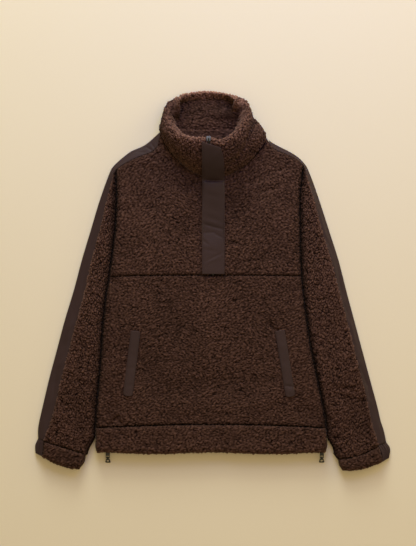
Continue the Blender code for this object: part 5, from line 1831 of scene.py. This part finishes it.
def sewn_rows(name: str, face: Grid, lines: Sequence[Grid], parent: Item) -> None:
    """Rows of stitches on a strip of cloth.

    Args:
        name: Name of the piece that all the stitches make.
        face: Grid of the cloth's upper surface.
        lines: For each row of stitches, its path as points on the grid, by row and column.
        parent: The cloth that the stitches are sewn into.
    """
    points, quads, caps = [], [], []
    ring = np.arange(6)
    for line in lines:
        low = np.minimum(np.floor(line).astype(int), np.array(face.shape[:2]) - 2)
        part = line - low
        path = sum([face[low[:, 0] + a, low[:, 1] + b] * (part[:, :1] if a else 1 - part[:, :1])
                    * (part[:, 1:] if b else 1 - part[:, 1:]) for a in (0, 1) for b in (0, 1)])
        path = spaced(path, max(round(arc(path)[-1] / STITCH_PITCH), 2))
        run = unit(np.gradient(path, axis=0))
        side = unit(np.cross(run, np.array((0.0, 0.0, 1.0))))
        rise = np.cross(side, run)
        for at, ahead, beside, above in zip(path[1:-1], run[1:-1], side[1:-1], rise[1:-1]):
            first = 12 * len(caps) // 2
            for height, narrow in ((-0.25, 1.0), (STITCH_RISE, 0.7)):
                points += [at + ahead * a * STITCH_HALF * narrow
                           + beside * b * STITCH_WIDTH * narrow + above * height
                           for a, b in STITCH_OUTLINE]
            quads.append(first + np.stack((ring, np.roll(ring, -1), np.roll(ring, -1) + 6,
                                           ring + 6), axis=1))
            caps += [first + ring[::-1], first + ring + 6]
    mesh = outward(Mesh(np.array(points), np.concatenate(quads), caps))
    item = make_object(name, mesh, plan=mesh.points[:, :2])
    item.data.materials.append(THREAD.material())
    item.parent = parent
    LOG.info("%s has %d stitches", name, len(caps) // 2)


def sewn_cloth(node: str, walls: tuple[Grid, Grid], cut: Grid,
               rests_on: Sequence[str], rows: Grid, margin: float) -> None:
    """Nylon wall in place of its solid, with a row of stitches beside both long edges.

    Args:
        node: The solid.
        walls: Grids of its upper and its lower surface.
        cut: Each grid point's place on the flat cut.
        rests_on: What it lies on.
        rows: Where the stitches go along the grid.
        margin: Their distance from the edge in columns.
    """
    face, cut = walls[0], cut.reshape(-1, 2)
    ring = border_of(*face.shape[:2])
    plan = np.concatenate((cut, cut[ring], cut))
    item = make_object(f"{node}_cloth", closed_wall(*walls, rims=1), plan=plan)
    hand_over(item, node, NYLON_CLOTH)
    declare(item, face, Held.LAID, *rests_on)
    lines = [np.stack((rows, np.full_like(rows, at)), axis=1)
             for at in (margin, face.shape[1] - 1 - margin)]
    sewn_rows(f"{node}_stitches", face, lines, item)


@dataclass
class Placket:
    """Nylon placket over the zip, from the yoke seam up the collar."""

    mesh: float = 1.5
    width: float = 48.0
    thickness: float = 1.7
    margin: float = 3.4  # of the stitches from the edge
    top_slope: float = 13.0
    climb: float = 212.0  # height from which the top's slope grows
    creases: Rows = (
        (-22, 217.5, 27, 216.5, 3.2, -5), (-24, 206, 28, 204, 30, 5),
        (-24, 116, 28, 112, 40, -6), (-24, 84, 28, 82, 16, 1.2),
        (-20, 124, 4, 117, 2.8, -1.1), (2, 117, 25, 112, 2.8, -1.1),
        (-18, 132, 20, 122, 5, 1), (-20, 104, 6, 106, 3, -0.9),
        (4, 104, 22, 94, 3, -0.9), (-20, 90, -8, 79, 3, -1.2),
        (-16, 42, 22, 61, 3.2, -1.1), (-15, 41, 20, 56, 5, 0.8),
        (-19, 70, 10, 64, 4, -0.6), (-12, 150, 20, 138, 7, 0.8),
        (-20, 190, 22, 180, 7, -0.9), (-18, 240, 20, 232, 5, -0.8),
        (-6, 252, 16, 276, 6, 0.8),
    )

    def build(self) -> None:
        """Make the placket and its edge stitching."""
        low_y, high_y = PLACKET_EDGES[0][0], PLACKET_EDGES[-1][0]
        stops = np.linspace(low_y, high_y, round(1.15 * (high_y - low_y) / self.mesh))
        edges = smooth(PLACKET_EDGES, stops)
        across = np.linspace(0, 1, round(self.width / self.mesh) + 1)[None, :]
        plan = self.place(stops, edges, across)
        solid = self.place(np.clip(stops, low_y + 0.7, high_y - 0.7), edges,
                           np.clip(across, 0.02, 0.98))
        heights = blurred(heights_on("placket", solid), (3.0, 2.6))
        edge = np.minimum(across, 1 - across) * self.width
        heights = heights + fold_height(plan, self.creases) * np.clip(edge / 3.0, 0.35, 1.0)
        heights += 0.18 * np.sin(plan[..., 1] / 9.0 + 0.8 * np.sin(plan[..., 0] / 8.0))
        heights -= 0.45 * towards(edge, 0.9)
        heights -= 0.5 * bell(edge - self.margin, 0.8)
        top = lift(plan, heights)
        slope = unit(np.cross(np.gradient(top, axis=1), np.gradient(top, axis=0)))
        cut = np.stack(np.broadcast_arrays(across * self.width, stops[:, None]), axis=2)
        margin = self.margin / self.width * (across.size - 1)
        sewn_cloth("placket", (top, top - slope * self.thickness), cut,
                   ("front_yoke_left_fleece", "collar_outer_fleece"),
                   np.linspace(1, len(stops) - 3, 400), margin)

    def place(self, stops: Grid, edges: Grid, across: Grid) -> Grid:
        """Plan grid of the placket, its top edge cut at a slope.

        Args:
            stops: Places along the placket in millimetres.
            edges: Its two edges at each of them.
            across: Places across it, from zero to one.

        Returns:
            The plan grid.
        """
        x = edges[:, 1:2] + (edges[:, 2:3] - edges[:, 1:2]) * across
        reach = PLACKET_EDGES[-1][0] - self.climb
        slant = np.clip((stops - self.climb) / reach, 0, 1)[:, None] ** 2
        return np.stack((x, stops[:, None] - self.top_slope * across * slant), axis=2)


# Middle of each welt's top end and of its lower end.
WELT_ENDS = {
    Side.LEFT: ((-164.0, -106.0), (-181.0, -246.0)),
    Side.RIGHT: ((145.5, -105.0), (168.5, -247.5)),
}
# Bends of the welts, by distance from the lower end and from the middle.
WELT_CREASES = {
    Side.LEFT: (
        (58, -9, 64, 9, 5, -0.6), (100, -9, 96, 9, 6, 0.4), (20, -6, 26, 8, 5, -0.5),
    ),
    Side.RIGHT: (
        (26, -9, 20, 9, 3.4, -1.6), (12, -4, 12, 8, 6, 0.7),
        (74, -9, 80, 9, 6, -0.5), (112, -9, 108, 9, 6, 0.4),
    ),
}


@dataclass
class PocketWelt:
    """Nylon welt of one side pocket, its lower end rounded."""

    side: Side
    width: float = 21.0
    mesh: float = 1.4
    thickness: float = 1.8
    low_corner: float = 7.0
    top_corner: float = 2.0
    sink: float = 1.0  # the pile's tips stand round it, so it lies a little lower
    margin: float = 2.2  # of the stitches from the edge

    def build(self) -> None:
        """Make the welt and its edge stitching."""
        top, low = np.array(WELT_ENDS[self.side])
        long = float(np.linalg.norm(top - low))
        run = (top - low) / long
        beside = np.array((run[1], -run[0]))
        along = np.linspace(0, long, round(long / self.mesh) + 1)
        across = np.linspace(-0.5, 0.5, round(self.width / self.mesh) + 1)
        width = self.width * self.rounding(along, self.low_corner)
        width *= self.rounding(long - along, self.top_corner)
        place = low + run * along[:, None, None] + beside * (across * width[:, None])[..., None]
        inner = np.clip(along, 0.6, long - 0.6)
        solid = (low + run * inner[:, None, None]
                 + beside * (0.97 * across * width[:, None])[..., None])
        name = f"pocket_welt_{self.side.label}"
        heights = blurred(heights_on(name, solid), (5.0, 3.0)) - self.sink
        spots = np.stack(np.broadcast_arrays(along[:, None], across * self.width), axis=2)
        heights += fold_height(spots, WELT_CREASES[self.side])
        heights -= 0.9 * np.abs(2 * across) ** 6
        heights += 0.12 * np.sin(along[:, None] / 8.0 + across * 3.0)
        sewn_cloth(name, (lift(place, heights), lift(place, heights - self.thickness)), spots,
                   ("front_lower_fleece",), np.linspace(3, len(along) - 3, 200),
                   self.margin / self.width * (across.size - 1))

    @staticmethod
    def rounding(distance: Grid, corner: float) -> Grid:
        """Share of the width near an end with round corners."""
        t = ramp(distance, 0.0, corner)
        return 0.45 + 0.55 * np.sqrt(1 - (1 - t) ** 2)


# Metal ----------

class Bench:
    """Hand modelling with Blender's operators, in metres round the origin."""

    @staticmethod
    def clear() -> None:
        """Deselect everything, in object mode."""
        if bpy.context.object is not None and bpy.context.object.mode != "OBJECT":
            bpy.ops.object.mode_set(mode="OBJECT")
        bpy.ops.object.select_all(action="DESELECT")

    @classmethod
    def choose(cls, item: Item) -> None:
        """Make a piece the only selected and the active one.

        Args:
            item: The piece.
        """
        cls.clear()
        item.select_set(True)
        bpy.context.view_layer.objects.active = item

    @staticmethod
    def finish(name: str = "") -> Item:
        """Apply the active piece's place, turn and size, and name it if it is new.

        Args:
            name: Name of a new piece, empty where it keeps its own.

        Returns:
            The piece.
        """
        bpy.ops.object.transform_apply(location=True, rotation=True, scale=True)
        bpy.context.object.name = name or bpy.context.object.name
        return bpy.context.object

    @classmethod
    def box(cls, name: str, low: Sequence[float], high: Sequence[float]) -> Item:
        """A box between two corners in millimetres.

        Args:
            name: Name of the piece.
            low: Its low corner.
            high: Its high corner.

        Returns:
            The piece.
        """
        cls.clear()
        centre = [(a + b) / 2 * MM for a, b in zip(low, high)]
        bpy.ops.mesh.primitive_cube_add(size=1.0, location=centre)
        bpy.context.object.scale = [(b - a) * MM for a, b in zip(low, high)]
        return cls.finish(name)

    @classmethod
    def rod(cls, name: str, radius: float, length: float, centre: Sequence[float],
            axis: str = "Z", sides: int = 28) -> Item:
        """A round bar about an axis, in millimetres.

        Args:
            name: Name of the piece.
            radius: Radius of the bar.
            length: Its length.
            centre: Its middle.
            axis: The axis that it lies along.
            sides: Number of flat sides.

        Returns:
            The piece.
        """
        cls.clear()
        turn = {"X": (0.0, math.pi / 2, 0.0), "Y": (math.pi / 2, 0.0, 0.0), "Z": (0.0, 0.0, 0.0)}
        bpy.ops.mesh.primitive_cylinder_add(
            vertices=sides, radius=radius * MM, depth=length * MM,
            location=[value * MM for value in centre], rotation=turn[axis])
        return cls.finish(name)

    @classmethod
    def draw_out(cls, item: Item, direction: Sequence[float], reach: float,
                 scale: Sequence[float]) -> None:
        """Extrude the faces that point a way and scale the new end.

        Args:
            item: The piece.
            direction: Unit vector that the faces point along.
            reach: How far, in millimetres.
            scale: The new end's size against the old.
        """
        cls.choose(item)
        bpy.ops.object.mode_set(mode="EDIT")
        bpy.ops.mesh.select_mode(type="FACE")
        bpy.ops.mesh.select_all(action="DESELECT")
        builder = bmesh.from_edit_mesh(item.data)
        for face in builder.faces:
            face.select = face.normal.dot(Vector(direction)) > 0.9
        bmesh.update_edit_mesh(item.data)
        move = [value * reach * MM for value in direction]
        bpy.ops.mesh.extrude_region_move(TRANSFORM_OT_translate={"value": move})
        bpy.ops.transform.resize(value=scale)
        bpy.ops.object.mode_set(mode="OBJECT")

    @classmethod
    def combine(cls, item: Item, tool: Item, operation: str) -> None:
        """Join another body to a piece, or cut it out.

        Args:
            item: The piece that stays.
            tool: The other body, which is used up.
            operation: UNION or DIFFERENCE.
        """
        cls.choose(item)
        change = item.modifiers.new(tool.name, "BOOLEAN")
        change.operation = operation
        change.object = tool
        change.solver = "EXACT"
        bpy.ops.object.modifier_apply(modifier=change.name)
        bpy.data.objects.remove(tool, do_unlink=True)

    @classmethod
    def soften(cls, item: Item, width: float, segments: int = 2) -> None:
        """Round every sharp edge and shade the piece smooth.

        Args:
            item: The piece.
            width: Width of the rounding in millimetres.
            segments: Faces across it.
        """
        cls.choose(item)
        change = item.modifiers.new("edges", "BEVEL")
        change.width = width * MM
        change.segments = segments
        change.limit_method = "ANGLE"
        change.angle_limit = math.radians(35)
        bpy.ops.object.modifier_apply(modifier=change.name)
        bpy.ops.object.shade_smooth_by_angle(angle=math.radians(40))

    @classmethod
    def seat(cls, item: Item, place: Sequence[float], tilt: float) -> None:
        """Turn a finished piece about X and set it in its place, in its mesh.

        Args:
            item: The piece, modelled round the origin.
            place: Where its origin goes, in the garment's millimetres.
            tilt: Angle about X in radians.
        """
        cls.choose(item)
        item.rotation_euler = (tilt, 0.0, 0.0)
        item.location = Vector(world(place))
        cls.finish()


@dataclass
class HemZip:
    """Zip slider at one side of the hem, and the pull tab that turns on its pin."""

    side: Side
    width: float = 8.4
    length: float = 7.0
    thickness: float = 4.4
    height: float = 8.5
    lug: float = 1.3
    lug_reach: float = 4.2
    pin: float = 0.8
    eye: float = 2.1
    eye_bore: float = 1.3
    tab_length: float = 13.5
    tab_neck: float = 4.6
    tab_top: float = 8.0
    tab_end: float = 11.2
    tab_thickness: float = 1.5
    hole: float = 3.0
    hang: float = 33.0

    def place(self) -> tuple[float, float, float]:
        """The pin's middle in millimetres."""
        x = -224.6 if self.side is Side.LEFT else 236.5
        return x, float(hem_edge(x)) - SEAM_GAP - self.length - self.lug_reach, self.height

    def build_slider(self) -> None:
        """Body with a raised crown, two lugs and the pin."""
        half, back, thick = self.width / 2, self.lug_reach, self.thickness / 2
        name = f"hem_slider_{self.side.label}"
        item = Bench.box(f"{name}_metal", (-half, back, -thick),
                         (half, back + self.length, thick - 1.0))
        Bench.draw_out(item, (0, 0, 1), 0.6, (0.86, 0.86, 1.0))
        Bench.draw_out(item, (0, 0, 1), 0.4, (0.72, 0.72, 1.0))
        reach = self.pin + 0.7
        for sign in (-1, 1):
            low, high = sorted((sign * half, sign * (half - self.lug)))
            lug = Bench.box("lug", (low, 0.0, -reach), (high, back + 1.0, reach))
            Bench.combine(item, lug, "UNION")
            eye = Bench.rod("lug_end", reach, self.lug - 0.02, ((low + high) / 2, 0, 0), "X")
            Bench.combine(item, eye, "UNION")
        Bench.combine(item, Bench.rod("pin", self.pin, self.width - 1.0, (0, 0, 0), "X"), "UNION")
        bridge = Bench.box("bridge", (-1.2, back + 1.0, thick - 1.2),
                           (1.2, back + 6.0, thick + 0.2))
        Bench.combine(item, bridge, "UNION")
        Bench.soften(item, 0.28)
        Bench.seat(item, self.place(), 0.0)
        hand_over(item, name, DARK_METAL)

    def build_pull(self) -> None:
        """Tab with an eye round the pin, a neck and a round hole in its wide end."""
        name = f"hem_pull_{self.side.label}"
        half, neck = self.tab_thickness / 2, self.tab_neck / 2
        item = Bench.box(f"{name}_metal", (-neck, -3.6, -half), (neck, -1.2, half))
        Bench.draw_out(item, (0, -1, 0), 1.0, (self.tab_top / self.tab_neck, 1.0, 1.0))
        body = self.tab_length - 3.6 - 1.0 - 1.6
        Bench.draw_out(item, (0, -1, 0), body, (self.tab_end / self.tab_top, 1.0, 1.0))
        Bench.draw_out(item, (0, -1, 0), 1.1, (0.86, 1.0, 1.0))
        Bench.draw_out(item, (0, -1, 0), 0.5, (0.72, 1.0, 1.0))
        Bench.combine(item, Bench.rod("eye", self.eye, self.tab_neck, (0, 0, 0), "X"), "UNION")
        Bench.combine(item, Bench.rod("bore", self.eye_bore, 20.0, (0, 0, 0), "X"), "DIFFERENCE")
        middle = -self.tab_length + self.hole + 1.7
        hole = Bench.rod("hole", self.hole, 10.0, (0, middle, 0), "Z")
        Bench.combine(item, hole, "DIFFERENCE")
        Bench.soften(item, 0.25)
        Bench.seat(item, self.place(), math.radians(self.hang))
        hand_over(item, name, DARK_METAL, f"pull_{self.side.label}")

    def build(self) -> None:
        """Make the slider and its pull tab."""
        self.build_slider()
        self.build_pull()


@dataclass
class NeckZip:
    """Closed half zip: its tape and teeth up the collar, and the slider over the rim."""

    collar: Collar
    half_width: float = 2.7
    height: float = 14.5
    over_rim: float = 6.0
    tape: float = 1.1
    pitch: float = 1.9

    def path(self) -> Grid:
        """Middle line of the zip, from its foot to its top end.

        Returns:
            Points in millimetres.
        """
        climb = (self.collar.middle[0] + self.collar.middle[-1]) / 2
        top = climb[-1] + unit(climb[-1] - climb[-2]) * self.over_rim
        y = np.linspace(YOKE_SEAM_MIDDLE + 1.5, climb[0, 1] - 4.0, 60)
        flat = np.stack((zip_line(y), y, np.full_like(y, self.height)), axis=1)
        line = np.concatenate((flat, climb, top[None]))
        return spaced(line, round(arc(line)[-1] / self.pitch))

    def build(self) -> None:
        """Make tape, teeth and slider."""
        path = self.path()
        run = unit(np.gradient(path, axis=0))
        rise = unit(np.stack((0 * run[:, 0], -run[:, 2], run[:, 1]), axis=1))
        across = np.linspace(-1, 1, 9)
        cord = 0.45 * bell(np.abs(across) - 0.45, 0.2)
        sides = (across * self.half_width)[None, :, None] * np.array((1.0, 0.0, 0.0))
        middle = path[:, None] + sides
        top = middle + rise[:, None] * (self.tape / 2 + cord)[None, :, None]
        low = middle - rise[:, None] * self.tape / 2
        mesh = closed_wall(top, low)
        cut = np.stack(np.broadcast_arrays(across * self.half_width, arc(path)[:, None]), axis=2)
        cut = cut.reshape(-1, 2)
        item = make_object("neck_zip_tape", mesh, plan=np.concatenate((cut, cut)))
        hand_over(item, "neck_zip", TAPE)
        declare(item, top, Held.STRETCHED, "front_yoke_left_fleece", "front_yoke_right_fleece")
        self.build_teeth(path, run, rise, item)
        self.build_slider(path, run)

    def build_teeth(self, path: Grid, run: Grid, rise: Grid, tape: Item) -> None:
        """One tooth modelled by hand, then copied to both sides down the tape.

        Args:
            path: Middle line of the zip.
            run: Direction ahead at each point.
            rise: Direction out of the tape at each point.
            tape: The tape, which they move with.
        """
        tooth = Bench.box("tooth", (-1.5, -0.45, 0.0), (0.5, 0.45, 0.9))
        Bench.draw_out(tooth, (1, 0, 0), 0.5, (1.0, 0.6, 0.8))
        shape = np.array([vertex.co for vertex in tooth.data.vertices]) / MM
        faces = [np.array(face.vertices) for face in tooth.data.polygons]
        bpy.data.objects.remove(tooth, do_unlink=True)
        points, quads = [], []
        for at, ahead, above in zip(path, run, rise):
            for sign in (1, -1):
                centre = at + ahead * (0.25 * self.pitch * sign) + above * (self.tape / 2 - 0.1)
                side = np.array((1.0, 0.0, 0.0)) * sign
                place = centre + shape[:, :1] * side + shape[:, 1:2] * ahead * sign
                first = len(points) * len(shape)
                points.append(place + shape[:, 2:] * above)
                quads += [first + face for face in faces]
        mesh = outward(Mesh(np.concatenate(points), np.array(quads), []))
        item = make_object("neck_zip_teeth", mesh)
        item.data.shade_flat()
        item.data.materials.append(DARK_METAL.material())
        item.parent = tape
        LOG.info("neck_zip_teeth has %d teeth", 2 * len(path))

    def build_slider(self, path: Grid, run: Grid) -> None:
        """Crown that parts the zip, two flanks, rails and a bridge for the pull.

        Args:
            path: Middle line of the zip.
            run: Direction ahead at each point.
        """
        item = Bench.box("neck_slider_metal", (-5.0, 1.0, 0.0), (5.0, 3.6, 2.2))
        Bench.draw_out(item, (0, 1, 0), 1.4, (0.78, 1.0, 1.0))
        Bench.draw_out(item, (0, -1, 0), 6.0, (0.76, 1.0, 1.0))
        slot = Bench.box("slot", (-1.3, -6.0, -1.0), (1.3, 0.6, 4.0))
        Bench.combine(item, slot, "DIFFERENCE")
        for sign in (-1, 1):
            low, high = sorted((sign * 2.5, sign * 4.0))
            rail = Bench.box("rail", (low, -4.0, 1.9), (high, 3.6, 3.0))
            Bench.combine(item, rail, "UNION")
        bridge = Bench.box("bridge", (-1.1, 0.8, 1.9), (1.1, 4.2, 3.4))
        Bench.combine(item, bridge, "UNION")
        Bench.soften(item, 0.3)
        ahead = run[-1]
        tilt = math.atan2(ahead[2], ahead[1])
        above = np.array((0.0, -math.sin(tilt), math.cos(tilt)))
        Bench.seat(item, path[-1] + above * 1.3 - ahead * 1.5, tilt)
        hand_over(item, "neck_slider", BRIGHT_METAL)


# Studio ----------

@dataclass(frozen=True)
class Lamp:
    """A soft rectangular lamp that faces the middle of the garment."""

    place: tuple[float, float, float]
    size: tuple[float, float]
    power: float
    colour: Colour
    mirrored: bool = True  # whether smooth cloth and metal mirror it

    def build(self, name: str) -> None:
        """Hang the lamp.

        Args:
            name: Name of the lamp.
        """
        data = bpy.data.lights.new(name, "AREA")
        data.shape = "RECTANGLE"
        data.size, data.size_y = self.size
        data.energy = self.power
        data.color = self.colour
        lamp = place_object(name, data)
        lamp.location = self.place
        lamp.rotation_mode = "QUATERNION"
        lamp.rotation_quaternion = (-Vector(self.place)).to_track_quat("-Z", "Y")
        lamp.visible_glossy = self.mirrored


LAMPS = {
    "key": Lamp((-0.45, 3.2, 1.95), (1.9, 1.3), 50.0, (0.96, 0.99, 0.88)),
    "low": Lamp((-0.28, 3.5, 1.1), (1.9, 1.0), 123.0, (0.79, 0.85, 0.90), False),
    "glow": Lamp((0.30, 1.2, 1.2), (1.0, 0.8), 12.0, (0.06, 0.18, 1.0), False),
    "bounce": Lamp((2.6, 1.6, 1.1), (2.4, 1.6), 33.0, (1.0, 0.88, 0.54)),
    "fill": Lamp((0.25, -0.1, 3.9), (3.2, 3.2), 22.0, (1.0, 0.72, 0.58)),
}


@dataclass
class Studio:
    """Plain pale floor, soft light from beyond the collar, weak fills, and the camera."""

    floor_half: float = 14.0
    floor_drop: float = 0.0004
    camera_at: tuple[float, float, float] = (-0.0101, 0.0166, 3.275)
    lens: float = 100.0
    ambient: Colour = (1.0, 0.84, 0.51)
    ambient_strength: float = 0.43

    def build(self) -> None:
        """Make all of it."""
        self.build_floor()
        for name, lamp in LAMPS.items():
            lamp.build(f"{name}_light")
        scene = bpy.context.scene
        scene.view_settings.view_transform = "Standard"
        sky = bpy.data.worlds.new("studio_ambient")
        sky.use_nodes = True
        background = sky.node_tree.nodes["Background"]
        background.inputs["Color"].default_value = (*self.ambient, 1.0)
        background.inputs["Strength"].default_value = self.ambient_strength
        scene.world = sky
        data = bpy.data.cameras.new("camera")
        data.lens = self.lens
        data.sensor_width = 36.0
        scene.camera = place_object("camera", data)
        scene.camera.location = self.camera_at
        LOG.info("studio is ready")

    def build_floor(self) -> None:
        """A wide flat floor just under the cloth."""
        half = self.floor_half
        corners = [(-half, -half), (half, -half), (half, half), (-half, half)]
        data = bpy.data.meshes.new(FLOOR_NAME)
        data.from_pydata([(x, y, -self.floor_drop) for x, y in corners], [], [(0, 1, 2, 3)])
        data.materials.append(FLOOR.material())
        place_object(FLOOR_NAME, data)


def main() -> None:
    """Build and dress the whole pullover."""
    logging.basicConfig(level=logging.INFO, format="%(message)s")
    Studio().build()
    collar = Collar()
    Body(collar).build()
    collar.build()
    for side in Side:
        ShoulderStrip(side).build()
        Sleeve(side).build()
        Cuff(side).build()
        PocketWelt(side).build()
        HemZip(side).build()
    Placket().build()
    NeckZip(collar).build()


if __name__ == "__main__":
    main()
